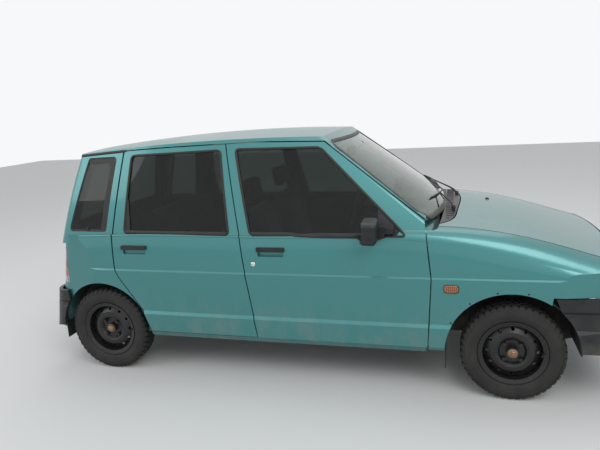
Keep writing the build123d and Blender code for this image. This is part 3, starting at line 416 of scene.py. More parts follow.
def metalMaterial(name, colour, rough):
    # bright or worn plated metal
    item, tree, shader = newMaterial(name)
    clouds = noise(tree, 60.0, 5.0, 0.6)
    dull = [c * 0.6 for c in colour]
    wire(shader, "Base Color", mixColour(tree, ramp(tree, clouds, 0.4, 0.8), colour, dull))
    wire(shader, "Metallic", 1.0)
    wire(shader, "Roughness", ramp(tree, clouds, 0.3, 0.8, rough, rough + 0.2))
    return item


# Mesh helpers
sharpAngle = radians(38.0)


def meshFrom(name, build):
    # build fills an empty mesh
    work = bmesh.new()
    build(work)
    bmesh.ops.recalc_face_normals(work, faces=work.faces)
    mesh = bpy.data.meshes.new(name)
    work.to_mesh(mesh)
    work.free()
    return mesh


def newPiece(name, build, *values, skin, body="shell", slot=None, smooth=True):
    mesh = meshFrom(name, lambda work: build(work, *values))
    item = bpy.data.objects.new(name, mesh)
    bpy.context.collection.objects.link(item)
    mesh.materials.append(skins[skin])
    if smooth:
        mesh.shade_smooth()
        mesh.set_sharp_from_angle(angle=sharpAngle)
    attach(item, body)
    return item


def sweep(work, rings, closed=False):
    # faces from ring to ring; an open sweep gets flat ends
    pairs = zip(rings, rings[1:] + rings[:1]) if closed else zip(rings, rings[1:])
    for first, second in pairs:
        for a in range(len(first)):
            b = (a + 1) % len(first)
            work.faces.new((first[a], first[b], second[b], second[a]))
    if not closed:
        work.faces.new(rings[0][::-1])
        work.faces.new(rings[-1])


def islandOf(seeds):
    # every point joined to the seeds by edges
    island, grow = set(seeds), list(seeds)
    while grow:
        for edge in grow.pop().link_edges:
            for vert in edge.verts:
                if vert not in island:
                    island.add(vert)
                    grow.append(vert)
    return island


def hit(names, start, aim):
    # the nearest point and normal on the named nodes along a ray
    best = None
    for name in names:
        found, place, normal, index = nodes[name].ray_cast(Vector(start), Vector(aim).normalized())
        far = (place - Vector(start)).length
        if found and (best is None or far < best[2]):
            best = (place.copy(), normal.copy(), far)
    return best[:2] if best else None


def roundedLoop(corners, radius, perCorner=6, perSide=10):
    # a closed outline with rounded corners, with points evenly along its sides
    loop = []
    count = len(corners)
    for index in range(count):
        before, here = Vector(corners[index - 1]), Vector(corners[index])
        after = Vector(corners[(index + 1) % count])
        start = here + (before - here).normalized() * radius
        end = here + (after - here).normalized() * radius
        for step in range(perCorner + 1):
            t = step / perCorner
            loop.append(start * (1 - t) ** 2 + here * 2 * t * (1 - t) + end * t * t)
        nextStart = after + (here - after).normalized() * radius
        loop += [end.lerp(nextStart, step / perSide) for step in range(1, perSide)]
    return loop


def grown(corners, margin):
    # an outline moved outward, corner by corner, from its middle
    middle = sum((Vector(c) for c in corners), Vector((0.0, 0.0))) / len(corners)
    moved = []
    for index, corner in enumerate(corners):
        here = Vector(corner)
        a = (here - Vector(corners[index - 1])).normalized()
        b = (Vector(corners[(index + 1) % len(corners)]) - here).normalized()
        na, nb = Vector((a.y, -a.x)), Vector((b.y, -b.x))
        if na.dot(here - middle) < 0:
            na, nb = -na, -nb
        across = (na + nb).normalized()
        moved.append(tuple(here + across * (margin / max(across.dot(na), 0.3))))
    return moved


def railOn(points, start, aim, names):
    # each outline point cast onto the frame; a point that misses is left out
    found = [hit(names, start(point), aim) for point in points]
    return [item for item in found if item]


# Rays start outside the car, or inside it beside the seats
sideReach = 1.2
cabinReach = 0.3
frontReach = 1.6
rearReach = -2.4


def fromSide(sign):
    return lambda point: (point[0], sign * sideReach, point[1])


def fromEnd(x):
    return lambda point: (x, point[0], point[1])


def sideHit(names, x, z, sign):
    return hit(names, (x, sign * sideReach, z), (0, -sign, 0))


def cabinHit(names, x, z, sign):
    return hit(names, (x, sign * cabinReach, z), (0, sign, 0))


softSection = [(-0.5, -0.4), (-0.5, 0.35), (-0.32, 0.85), (0.0, 1.0), (0.32, 0.85), (0.5, 0.35), (0.5, -0.4)]


def strip(work, rail, width, height, closed, shift=0.0, section=softSection):
    # a moulding with a low rounded section along (point, normal) pairs
    count = len(rail)
    rings = []
    for index, (point, normal) in enumerate(rail):
        before = rail[index - 1][0] if closed or index else point
        after = rail[(index + 1) % count][0] if closed or index < count - 1 else point
        side = (after - before).cross(normal).normalized()
        up = side.cross(after - before).normalized()
        base = point + side * shift
        rings.append([work.verts.new(base + side * (u * width) + up * (v * height)) for u, v in section])
    sweep(work, rings, closed)


def box(work, low, high, bevel, segments=2):
    # a box with rounded edges
    made = bmesh.ops.create_cube(work, size=1.0)["verts"]
    middle = (Vector(low) + Vector(high)) / 2
    size = Vector(high) - Vector(low)
    for vert in made:
        vert.co = Vector((vert.co.x * size.x, vert.co.y * size.y, vert.co.z * size.z))
    edges = list({edge for vert in made for edge in vert.link_edges})
    rounded = bmesh.ops.bevel(
        work, geom=edges, offset=bevel, segments=segments, profile=0.5, affect="EDGES",
    )
    made = list({vert for face in rounded["faces"] for vert in face.verts} | set(rounded["verts"]))
    for vert in islandOf(made):
        vert.co += middle


def lathe(work, profile, centre, axis, steps=40):
    # a closed profile of (radius, along) turned about an axis
    along = Vector(axis).normalized()
    side = along.orthogonal().normalized()
    across = along.cross(side)
    rings = []
    for index in range(steps):
        angle = 2 * pi * index / steps
        out = side * cos(angle) + across * sin(angle)
        rings.append([work.verts.new(Vector(centre) + out * r + along * a) for r, a in profile])
    sweep(work, rings, True)
    bmesh.ops.remove_doubles(work, verts=work.verts, dist=1e-6)


def tube(work, points, radius, sides=10):
    # a round bar through points, with flat ends; radius may be a list
    rings = []
    count = len(points)
    radii = radius if isinstance(radius, list) else [radius] * count
    side = None
    for index, point in enumerate(points):
        before = Vector(points[max(index - 1, 0)])
        after = Vector(points[min(index + 1, count - 1)])
        along = (after - before).normalized()
        level = along.orthogonal() if side is None else side - along * side.dot(along)
        side = level.normalized()
        across = along.cross(side)
        ring = []
        for step in range(sides):
            angle = 2 * pi * step / sides
            out = side * cos(angle) + across * sin(angle)
            ring.append(work.verts.new(Vector(point) + out * radii[index]))
        rings.append(ring)
    sweep(work, rings)


def patch(work, corners, across, along, project, thick, lift=0.0):
    # a thin panel between four corners, each point laid on a surface by project
    rows = []
    for j in range(along + 1):
        v = j / along
        start = Vector(corners[0]).lerp(Vector(corners[3]), v)
        end = Vector(corners[1]).lerp(Vector(corners[2]), v)
        rows.append([project(start.lerp(end, i / across)) for i in range(across + 1)])
    if any(item is None for row in rows for item in row):
        return
    tops, lows = [], []
    for row in rows:
        tops.append([work.verts.new(p + n * (lift + thick)) for p, n in row])
        lows.append([work.verts.new(p + n * lift) for p, n in row])
    for j in range(along):
        for i in range(across):
            work.faces.new((tops[j][i], tops[j][i + 1], tops[j + 1][i + 1], tops[j + 1][i]))
            work.faces.new((lows[j][i], lows[j + 1][i], lows[j + 1][i + 1], lows[j][i + 1]))
    rim = [(0, i) for i in range(across)] + [(j, across) for j in range(along)]
    rim += [(along, i) for i in range(across, 0, -1)] + [(j, 0) for j in range(along, 0, -1)]
    for (j, i), (m, k) in zip(rim, rim[1:] + rim[:1]):
        work.faces.new((tops[j][i], lows[j][i], lows[m][k], tops[m][k]))


# Stage
makeCamera()
floorReach = 14.0
floorMesh = bpy.data.meshes.new("floor")
floorCorners = [(x * floorReach, y * floorReach, 0) for x, y in ((-1, -1), (1, -1), (1, 1), (-1, 1))]
floorMesh.from_pydata(floorCorners, [], [(0, 1, 2, 3)])
floor = bpy.data.objects.new("floor", floorMesh)
bpy.context.collection.objects.link(floor)
floorMaterial, floorTree, floorShader = newMaterial("floorMatte")
floorColour = mixColour(floorTree, seenDirectly(floorTree), light["bounce"], light["floor"])
wire(floorShader, "Base Color", floorColour)
wire(floorShader, "Roughness", 0.85)
floor.data.materials.append(floorMaterial)
world = bpy.data.worlds.new("studio")
bpy.context.scene.world = world
world.use_nodes = True
sky = world.node_tree
backdrop = sky.nodes["Background"]
ambient = sky.nodes.new("ShaderNodeBackground")
for node, colour, strength in ((backdrop, light["backdrop"], 1.0), (ambient, light["skyColour"], light["sky"])):
    wire(node, "Color", colour)
    wire(node, "Strength", strength)
skyMix = sky.nodes.new("ShaderNodeMixShader")
for index, value in enumerate((seenDirectly(sky), ambient.outputs[0], backdrop.outputs[0])):
    feed(sky, skyMix.inputs[index], value)
skyOut = next(node for node in sky.nodes if node.type == "OUTPUT_WORLD")
feed(sky, skyOut.inputs[0], skyMix.outputs[0])
areaLight("key", (3.0, -4.5, 5.0), (0.0, 0.0, 0.6), (4.0, 3.0), light["key"])
areaLight("fill", (-5.0, -3.5, 3.5), (0.0, 0.0, 0.6), (3.0, 3.0), light["fill"])
areaLight("top", (0.0, 2.0, 6.0), (0.0, 0.0, 0.8), (6.0, 4.0), light["top"])
bpy.context.scene.view_settings.view_transform = "Standard"
print("stage ready")

groups = {"dust": makeDustGroup(), "inside": makeInsideGroup(), "weave": makeWeaveGroup()}
lampGlass = (0.62, 0.64, 0.66)
lampAmber = (0.62, 0.17, 0.015)
lampRed = (0.34, 0.008, 0.008)
tailBands = [(0.0, lampGlass), (0.592, lampAmber), (0.640, lampRed)]
skins = {
    "paintSide": paintMaterial("paintSide", paint["sideFilm"], 0.35, paint["trim"], paint["dust"]),
    # the roof and hood paint, whose pale top film is partly a painted sky reflection
    "paintTop": paintMaterial("paintTop", paint["topFilm"], 0.1, paint["lining"], paint["film"]),
    "plastic": plainMaterial("greyPlastic", plastic["colour"], plastic["rough"]),
    "rubber": plainMaterial("blackRubber", rubber["colour"], rubber["rough"], splash=0.1, top=0.1),
    "glass": glassMaterial("sideGlass", glass["tint"], 0.05, 0.0),
    "screen": glassMaterial("screenGlass", glass["screenTint"], 0.16, 0.04),
    "headlamp": lensMaterial("headlampLens", [(0.0, lampGlass)], 520.0, 0.5),
    "amber": lensMaterial("amberLens", [(0.0, lampAmber)], 800.0, 0.4),
    "tailLamp": lensMaterial("tailLampLens", tailBands, 600.0, 0.4),
    "under": plainMaterial("underseal", (0.018, 0.018, 0.018), 0.8, splash=0.8, specks=0.3),
    "engine": plainMaterial("engineMetal", (0.09, 0.09, 0.09), 0.6, 0.6, top=0.4),
    "exhaust": plainMaterial("exhaustMetal", (0.10, 0.07, 0.05), 0.7, 0.5),
    "cabin": plainMaterial("cabinPlastic", (0.035, 0.036, 0.040), 0.62, splash=0.0, top=0.12),
    "carpet": plainMaterial("floorCarpet", (0.024, 0.024, 0.026), 0.95, splash=0.0, top=0.3, grain=coarseGrain),
    "fabric": clothMaterial("seatCloth", (0.060, 0.066, 0.076), (0.095, 0.100, 0.112)),
    "wheelFront": wheelSteel("wheelSteelFront", frontAxleX),
    "wheelRear": wheelSteel("wheelSteelRear", rearAxleX),
    "tyre": tyreMaterial("tyreRubber"),
    "chrome": metalMaterial("plating", (0.72, 0.72, 0.70), 0.10),
    "brass": metalMaterial("rustyMetal", (0.36, 0.24, 0.14), 0.42),
    "mirror": metalMaterial("mirrorGlass", (0.80, 0.83, 0.84), 0.01),
    "plate": plainMaterial("blankPlate", (0.62, 0.62, 0.60), 0.35, splash=0.3, top=0.1, specks=0.03),
    "dial": plainMaterial("dialFace", (0.008, 0.008, 0.009), 0.4, splash=0.0, top=0.0, specks=0.0),
    "mark": plainMaterial("dialMarks", (0.75, 0.75, 0.72), 0.5, splash=0.0, top=0.0, specks=0.0),
}
print("materials ready")

# The frame's own nodes, by finish
choices = {
    "paintTop": ["roof_panel", "hood"],
    "paintSide": ["side_frames", "front_fenders", "nose_panel", "tailgate", "rear_panel"],
    "plastic": ["front_bumper", "rear_bumper", "grille", "cowl_panel"],
    "screen": ["windscreen"],
    "glass": ["quarter_glass", "tailgate_glass"],
    "headlamp": ["headlamps"],
    "amber": ["indicators"],
    "tailLamp": ["tail_lamps"],
    "under": ["front_structure", "wheelhouses", "fuel_tank", "rear_axle", "front_suspension", "radiator"],
    "carpet": ["floor_pan"],
    "engine": ["engine_block"],
    "exhaust": ["exhaust"],
    "cabin": ["dashboard", "steering_wheel"],
    "fabric": ["front_seats", "rear_seat"],
    "rubber": ["mud_flaps", "wipers"],
    "wheelFront": ["rim_front_left", "rim_front_right"],
    "wheelRear": ["rim_rear_left", "rim_rear_right"],
    "tyre": [],
}
for side, sign in bodySides:
    choices["under"].append(f"knuckle_{side}")
    for end in ("front", "rear"):
        choices["paintSide"].append(f"door_{end}_{side}")
        choices["glass"].append(f"door_{end}_{side}_glass")
        choices["plastic"].append(f"door_{end}_{side}_fittings")
        choices["tyre"].append(f"tyre_{end}_{side}")
for skin, names in choices.items():
    for name in names:
        item = nodes[name]
        if not item.material_slots:
            item.data.materials.append(skins[skin])
        for place in item.material_slots:
            place.material = skins[skin]
print("frame dressed")

# Tyres: a carcass with shoulder lugs and rows of centre blocks
tyreShape = dict(steps=96, lugs=46, leanFrom=0.03, farSideShift=0.25)
tyreSide = [
    (0.1560, 0.0430), (0.1700, 0.0500), (0.1745, 0.0570), (0.1800, 0.0605), (0.1900, 0.0640), (0.2050, 0.0670),
    (0.2100, 0.0672), (0.2120, 0.0664), (0.2200, 0.0662), (0.2320, 0.0640), (0.2420, 0.0590), (0.2475, 0.0520),
    (0.2485, 0.0400), (0.2490, 0.0),
]
shoulderLug = [
    (0.2455, 0.030), (0.256, 0.031), (0.2556, 0.044), (0.251, 0.0545), (0.2425, 0.0625), (0.236, 0.0650),
    (0.235, 0.060),
]
centreBlock = [(0.2455, 0.0065), (0.256, 0.0075), (0.256, 0.0255), (0.2455, 0.0265)]
# each row: section of (radius, offset), share of the pitch filled, shift in pitches, slant
tyreRows = [(shoulderLug, 0.66, 0.0, 0.10), (centreBlock, 0.74, 0.5, 0.16)]


def tyreAt(work, x, y):
    outward = 1 if y > 0 else -1

    def spot(radius, wide, angle):
        return Vector((x + radius * cos(angle), y + wide * outward, hubZ + radius * sin(angle)))

    def lug(outline, sign, start, filled, slant):
        rings = []
        for turn in (0.0, 0.5, 1.0):
            ring = []
            for r, w in outline:
                lean = slant * (w / tyreShape["leanFrom"] - 1)
                ring.append(work.verts.new(spot(r, sign * w, start + filled * (turn + lean))))
            rings.append(ring)
        sweep(work, rings)

    half = tyreSide + [(r, -w) for r, w in tyreSide[-2::-1]]
    steps, lugs = tyreShape["steps"], tyreShape["lugs"]
    turns = [2 * pi * index / steps for index in range(steps)]
    sweep(work, [[work.verts.new(spot(r, w, angle)) for r, w in half] for angle in turns], True)
    pitch = 2 * pi / lugs
    for sign in (1, -1):
        offset = tyreShape["farSideShift"] if sign < 0 else 0.0
        for outline, share, shift, slant in tyreRows:
            for index in range(lugs):
                lug(outline, sign, pitch * (index + shift + offset), pitch * share, slant)


# Wheel hardware: hub nut or cap, and a valve on each rim
capProfile = [(0.0, 0.0), (0.0215, 0.0), (0.0215, 0.004), (0.0190, 0.009), (0.0100, 0.0125), (0.0, 0.0130)]
# each part of the open hub: profile and number of sides
nutProfiles = [
    ([(0.0095, 0.0), (0.0200, 0.0), (0.0200, 0.0025), (0.0185, 0.0035), (0.0095, 0.0035)], 28),
    ([(0.0, 0.0), (0.0155, 0.0030), (0.0155, 0.0110), (0.0130, 0.0130), (0.0, 0.0130)], 6),
    ([(0.0, 0.012), (0.0082, 0.012), (0.0082, 0.0175), (0.0070, 0.0190), (0.0, 0.0190)], 20),
]
valve = dict(radius=0.146, offset=0.030, lean=-0.25, stem=(0.0, 0.012, 0.030), capEnd=0.040)


def hubAt(work, x, y, faceY, capped):
    outward = 1 if y > 0 else -1
    for profile, steps in [(capProfile, 28)] if capped else nutProfiles:
        lathe(work, profile, (x, outward * faceY, hubZ), (0, outward, 0), steps)


def valveAt(work, x, y):
    outward = 1 if y > 0 else -1
    foot = Vector((x + valve["radius"], y + outward * valve["offset"], hubZ))
    lean = Vector((valve["lean"], outward * 1.0, 0.0)).normalized()
    stem = [foot + lean * far for far in valve["stem"]]
    tube(work, stem, [0.0065, 0.0045, 0.0040], 12)
    tube(work, [stem[-1], foot + lean * valve["capEnd"]], [0.0048, 0.0046], 12)


axles = (("front", frontAxleX, frontWheelY, 0.662), ("rear", rearAxleX, rearWheelY, 0.640))
for end, x, wide, hubFace in axles:
    for side, sign in bodySides:
        y = sign * wide
        place = f"{end}_{side}"
        body = f"wheel_{place}"
        tread = newPiece(f"tyreTread_{place}", tyreAt, x, y, skin="tyre", body=body, smooth=False)
        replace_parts(tread, f"tyre_{place}")
        newPiece(f"hubNut_{place}", hubAt, x, y, hubFace, end == "rear", skin="brass", body=body)
        newPiece(f"valve_{place}", valveAt, x, y, skin="rubber", body=body, slot="wheel_steel")
print("wheels ready")

# Rubbers and mouldings that follow the glass and the roof: width and height of each
trims = dict(
    screen=(0.030, 0.006), quarter=(0.018, 0.003), border=(0.038, 0.0012), tail=(0.026, 0.006),
    gutter=(0.015, 0.007), door=(0.013, 0.004), belt=(0.027, 0.008),
)
screenCorners = [(-0.600, 0.934), (0.600, 0.934), (0.468, 1.339), (-0.468, 1.339)]
tailCorners = [(-0.508, 0.892), (0.508, 0.892), (0.418, 1.268), (-0.418, 1.268)]
quarterCorners = [(-1.470, 0.872), (-1.206, 0.872), (-1.127, 1.306), (-1.330, 1.300)]
# the black band printed along the front and top edge of the quarter glass
quarterBorder = [
    (-1.226, 0.886), (-1.181, 1.120), (-1.160, 1.230), (-1.158, 1.256), (-1.170, 1.276), (-1.190, 1.283),
    (-1.322, 1.281),
]
frontWindow = [(-0.293, 0.869), (0.541, 0.866), (0.084, 1.312), (-0.381, 1.320)]
rearWindow = [(-1.080, 0.872), (-0.422, 0.868), (-0.473, 1.318), (-1.026, 1.305)]
gutterPoints = [
    (0.128, 1.330), (0.108, 1.3445), (-0.100, 1.3525), (-0.295, 1.3595), (-0.441, 1.3550), (-0.793, 1.3485),
    (-1.093, 1.3365), (-1.319, 1.3215), (-1.384, 1.3165),
]


def densePath(points, per=6):
    path = []
    for a, b in zip(points, points[1:]):
        path += [Vector(a).lerp(Vector(b), step / per) for step in range(per)]
    return path + [Vector(points[-1])]


def outwardShift(rail, amount):
    # the sign that moves a closed strip away from the middle of its loop
    middle = sum((point for point, normal in rail), Vector()) / len(rail)
    point, normal = rail[0]
    side = (rail[1][0] - rail[-1][0]).cross(normal)
    return amount if side.dot(point - middle) > 0 else -amount


def stripPiece(name, rail, trim, closed, body="shell", shift=0.0):
    newPiece(name, strip, rail, *trims[trim], closed, shift, skin="rubber", body=body)


def paneRubber(name, corners, start, aim, pane, trim, body="shell"):
    # a rubber cast just inside a pane's edge, then moved back out over it
    radius, inset, shift = paneLoops[trim]
    rail = railOn(roundedLoop(grown(corners, -inset), radius), start, aim, [pane])
    stripPiece(name, rail, trim, True, body, outwardShift(rail, shift))


# corner radius of each rubber's loop, how far inside the pane it is cast and how far it moves out
paneLoops = dict(screen=(0.042, 0.004, 0.006), tail=(0.042, 0.004, 0.006), quarter=(0.035, 0.006, 0.005))
doorLoop = dict(growth=0.002, radius=0.024)
gutterDrop = 0.003
# the belt strip stops short of the window's corners, and in front of the mirror
beltEnds = dict(rear=0.012, front=0.010, drop=0.001, mirrorX=0.402)
paneRubber("screenRubber", screenCorners, fromEnd(frontReach), (-1, 0, 0), "windscreen", "screen")
paneRubber("tailWindowRubber", tailCorners, fromEnd(rearReach), (1, 0, 0), "tailgate_glass", "tail", "tailgate")
for side, sign in bodySides:
    aim = (0, -sign, 0)
    paneRubber(f"quarterRubber_{side}", quarterCorners, fromSide(sign), aim, "quarter_glass", "quarter")
    rail = railOn(densePath(quarterBorder, 8), fromSide(sign), aim, ["quarter_glass"])
    stripPiece(f"quarterBorder_{side}", rail, "border", False)
    gutter = [(x, z - gutterDrop) for x, z in densePath(gutterPoints)]
    rail = railOn(gutter, fromSide(sign), aim, ["side_frames", "roof_panel"])
    stripPiece(f"dripMoulding_{side}", rail, "gutter", False)
    for end, corners in (("front", frontWindow), ("rear", rearWindow)):
        door = f"door_{end}_{side}"
        casts = [door, f"{door}_glass", f"{door}_fittings"]
        loop = roundedLoop(grown(corners, doorLoop["growth"]), doorLoop["radius"])
        rail = railOn(loop, fromSide(sign), aim, casts)
        stripPiece(f"windowRubber_{end}_{side}", rail, "door", True, door)
        (rearX, rearZ), (frontX, frontZ) = corners[:2]
        frontX = beltEnds["mirrorX"] if end == "front" else frontX - beltEnds["front"]
        low = [(rearX + beltEnds["rear"], rearZ - beltEnds["drop"]), (frontX, frontZ - beltEnds["drop"])]
        rail = railOn(densePath(low, 24), fromSide(sign), aim, casts)
        stripPiece(f"beltRubber_{end}_{side}", rail, "belt", False, door)
print("mouldings ready")

# Door furniture: lock cylinders, mirror glass, window divider, inner trim
lock = dict(x=-0.281, z=0.705)
lockProfile = [
    (0.0, -0.0020), (0.01265, -0.0020), (0.01265, 0.0015), (0.01045, 0.0035), (0.00682, 0.0040),
    (0.00638, 0.0022), (0.0, 0.0022),
]
divider = [(-1.074, 0.880), (-1.038, 0.880), (-1.047, 1.060), (-1.055, 1.060)]
mirrorGlass = dict(
    corners=[(0.694, 0.846), (0.826, 0.852), (0.848, 0.964), (0.702, 0.972)], inset=0.009, corner=0.018,
    x=0.3455, thick=0.003,
)
doorCard = {
    "front": [(-0.235, 0.335), (0.560, 0.335), (0.560, 0.835), (-0.262, 0.835)],
    "rear": [(-0.905, 0.440), (-0.375, 0.440), (-0.385, 0.835), (-1.080, 0.835)],
}
doorPanel = dict(thick=0.006, lift=0.001, shelfLift=0.004, rounding=0.004)
# arm rest and map pocket: gap behind, gaps in front at foot and top, two heights, thickness
doorShelves = [(0.10, 0.22, 0.20, 0.640, 0.700, 0.042), (0.16, 0.10, 0.10, 0.475, 0.560, 0.020)]
innerHandle = dict(z=0.765, fromFront=dict(front=0.13, rear=0.10))
innerHandleBase = [(0.0, 0.004), (0.016, 0.004), (0.016, 0.012), (0.012, 0.016), (0.0, 0.016)]
# along the door, off its face and up, with the radius at each point of the handle's arm
innerHandleArm = [(0.0, 0.014, 0.0, 0.006), (-0.02, 0.024, 0.0, 0.006), (-0.075, 0.026, 0.004, 0.005)]
latch = dict(x=-1.338, z=0.885)
latchBase = [(0.0, 0.0), (0.010, 0.0), (0.010, 0.005), (0.007, 0.008), (0.0, 0.008)]


def doorCardOn(work, door, corners, sign):
    def inner(point):
        return cabinHit([door], *point, sign)

    patch(work, corners, 18, 14, inner, doorPanel["thick"], doorPanel["lift"])
    back, front = corners[0][0], corners[1][0]
    for rear, foot, top, low, high, thick in doorShelves:
        shelf = [(back + rear, low), (front - foot, low), (front - top, high), (back + rear, high)]
        patch(work, shelf, 10, 3, inner, thick, doorPanel["shelfLift"])


def innerHandleAt(work, centre, normal):
    lathe(work, innerHandleBase, centre, normal, 20)
    arm = [centre + normal * off + Vector((along, 0, up)) for along, off, up, radius in innerHandleArm]
    tube(work, arm, [radius for along, off, up, radius in innerHandleArm], 10)


def mirrorGlassOn(work, sign):
    m = mirrorGlass
    loop = roundedLoop(grown(m["corners"], -m["inset"]), m["corner"], 5, 2)
    faces = (m["x"], m["x"] + m["thick"])
    sweep(work, [[work.verts.new((x, sign * p.x, p.y)) for p in loop] for x in faces])


def latchAt(work, centre, normal, sign):
    lathe(work, latchBase, centre, normal, 20)
    low, high = (-0.016, sign * 0.001 - 0.004, -0.028), (0.016, sign * 0.001 + 0.004, -0.010)
    box(work, centre + Vector(low), centre + Vector(high), 0.003)


for side, sign in bodySides:
    for end, corners in doorCard.items():
        door = f"door_{end}_{side}"
        values = (doorCardOn, door, corners, sign)
        piece = newPiece(f"doorCard_{end}_{side}", *values, skin="cabin", body=door)
        soften = piece.modifiers.new("rounding", "BEVEL")
        soften.width = doorPanel["rounding"]
        soften.segments = 2
        soften.limit_method = "ANGLE"
        place = cabinHit([door], corners[1][0] - innerHandle["fromFront"][end], innerHandle["z"], sign)
        newPiece(f"innerHandle_{end}_{side}", innerHandleAt, *place, skin="cabin", body=door)
    door = f"door_front_{side}"
    place = sideHit([door], lock["x"], lock["z"], sign)
    newPiece(f"doorLock_{side}", lathe, lockProfile, *place, 28, skin="chrome", body=door)
    newPiece(f"mirrorGlass_{side}", mirrorGlassOn, sign, skin="mirror", body=door)
    door = f"door_rear_{side}"
    names = [f"{door}_glass", door]
    values = (patch, divider, 4, 12, lambda point: sideHit(names, *point, sign), 0.005)
    newPiece(f"windowDivider_{side}", *values, skin="rubber", body=door)
    place = sideHit(["quarter_glass"], latch["x"], latch["z"], sign)
    newPiece(f"quarterLatch_{side}", latchAt, *place, sign, skin="rubber")
print("doors ready")

# Wipers stand where the frame has them: pivot (x, y), then the ends of the blade (y, z) on the glass
wiper = dict(
    footZ=0.918, pivotRadius=0.011, rubberHigh=0.008, spineWide=0.009, spineHigh=0.003, armRadius=0.005,
    bridgeHigh=0.017, steps=16,
)
wiperSection = [(-0.15, 0.1), (-0.5, 1.0), (0.5, 1.0), (0.15, 0.1)]
# each point of the bridge over the blade: share of its length, height and radius
bridgePoints = [(0.0, 0.010, 0.0030), (0.25, 0.014, 0.0034), (0.42, 0.017, 0.0042)]
wiperSets = [
    dict(name="wiper_right", pivot=(0.776, -0.330), blade=((-0.270, 0.985), (0.135, 0.958))),
    dict(name="wiper_left", pivot=(0.794, 0.135), blade=((0.190, 0.965), (0.545, 1.000))),
]


def wiperAt(work, pivot, blade):
    steps, rubberHigh = wiper["steps"], wiper["rubberHigh"]
    path = [Vector(blade[0]).lerp(Vector(blade[1]), step / steps) for step in range(steps + 1)]
    rail = railOn(path, fromEnd(frontReach), (-1, 0, 0), ["windscreen"])
    last = len(rail) - 1
    strip(work, rail, rubberHigh, rubberHigh, False, 0.0, wiperSection)
    spine = [(p + n * rubberHigh, n) for p, n in rail]
    strip(work, spine, wiper["spineWide"], wiper["spineHigh"], False)
    bridge = []
    for share, high, radius in bridgePoints:
        bridge.append((max(round(last * share), 1), high, radius))
    for share, high, radius in bridgePoints[::-1]:
        bridge.append((min(round(last * (1 - share)), last - 1), high, radius))
    tube(work, [rail[spot][0] + rail[spot][1] * h for spot, h, r in bridge], [r for s, h, r in bridge], 8)
    point, normal = rail[round(last / 2)]
    clip = point + normal * (wiper["bridgeHigh"] + 0.002)
    foot = Vector((*pivot, wiper["footZ"]))
    r = wiper["pivotRadius"]
    profile = [
        (0.0, 0.0), (r * 0.8, 0.0), (r * 0.8, 0.018), (r, 0.020), (r, 0.034), (r * 0.7, 0.040), (0.0, 0.041),
    ]
    lathe(work, profile, foot, (0, 0, 1), 24)
    shoulder = foot + Vector((0, 0, 0.030))
    elbow = shoulder.lerp(clip, 0.3) + Vector((0.004, 0, 0.009))
    bend = shoulder.lerp(elbow, 0.5) + Vector((0, 0, 0.003))
    arm = [shoulder, bend, elbow, elbow.lerp(clip, 0.5), clip]
    tube(work, arm, [wiper["armRadius"] * share for share in (1.5, 1.4, 1.1, 0.9, 0.8)], 10)


for item in wiperSets:
    values = (wiperAt, item["pivot"], item["blade"])
    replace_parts(newPiece(item["name"], *values, skin="rubber", slot="black_plastic"), "wipers")

# Washer nozzle, placed where the photograph shows it on the hood
nozzlePixel = (487.0, 199.0)
nozzleProfile = [(0.0, -0.001), (0.012, -0.001), (0.012, 0.003), (0.009, 0.008), (0.004, 0.010), (0.0, 0.010)]
start, aim = pixelRay(*nozzlePixel)
place = hit(["hood"], start, aim)
values = (lathe, nozzleProfile, *place, 20)
newPiece("washerNozzle", *values, skin="rubber", body="hood", slot="black_plastic")

# Louvres across the cowl, each kept to where the cowl is in the open
cowlSlats = dict(
    first=-0.46, last=0.46, count=24, width=0.006, high=0.003, x=(0.715, 0.735, 0.755, 0.775), top=1.3,
)


def cowlLouvres(work):
    c = cowlSlats
    for index in range(c["count"]):
        y = c["first"] + (c["last"] - c["first"]) * index / (c["count"] - 1)
        rail = []
        for x in c["x"]:
            start = (x, y, c["top"])
            first = hit(["cowl_panel", "hood", "windscreen"], start, (0, 0, -1))
            own = hit(["cowl_panel"], start, (0, 0, -1))
            if first and own and (first[0] - own[0]).length < 1e-5:
                rail.append(first)
        if len(rail) > 1:
            strip(work, rail, c["width"], c["high"], False)


newPiece("cowlLouvres", cowlLouvres, skin="plastic")

# Screws along the front arches, side repeaters, the fuel flap on the left and the tailgate's fittings
archScrews = dict(x=1.057, z=0.258, reach=0.334, first=28, last=152, count=6, radius=0.0050, high=0.0022)
repeaterCorners = [(0.730, 0.580), (0.801, 0.580), (0.801, 0.620), (0.730, 0.620)]
domeTaper = 0.22
domeSunk = 0.001
# each part of a repeater: finish, slot, growth and height
repeaterParts = dict(
    Rim=("rubber", "black_plastic", 0.0025, 0.0028), Lens=("amber", "amber_lens", 0.0, 0.0065),
)
fuelFlap = [(-1.462, 0.690), (-1.326, 0.690), (-1.326, 0.812), (-1.462, 0.812)]
fuelLock = dict(x=-1.440, z=0.751)
fuelLockProfile = [
    (0.0, -0.001), (0.010, -0.001), (0.010, 0.0015), (0.008, 0.003), (0.003, 0.003), (0.0, 0.001),
]
tailHandle = dict(
    z=0.728, half=0.190, wide=0.036, high=0.016, lamps=(-0.120, 0.120), lampHalf=0.024, lock=0.034,
)
tailLockProfile = [(0.0, -0.002), (0.012, -0.002), (0.012, 0.002), (0.010, 0.004), (0.003, 0.004), (0.0, 0.002)]


def archScrewsOn(work, sign):
    s = archScrews
    r, h = s["radius"], s["high"]
    profile = [(0.0, -0.001), (r, -0.001), (r, h * 0.3), (r * 0.7, h * 0.85), (0.0, h)]
    for index in range(s["count"]):
        angle = radians(s["first"] + (s["last"] - s["first"]) * index / (s["count"] - 1))
        x, z = s["x"] + s["reach"] * cos(angle), s["z"] + s["reach"] * sin(angle)
        place = sideHit(["front_fenders"], x, z, sign)
        if place:
            lathe(work, profile, *place, 14)


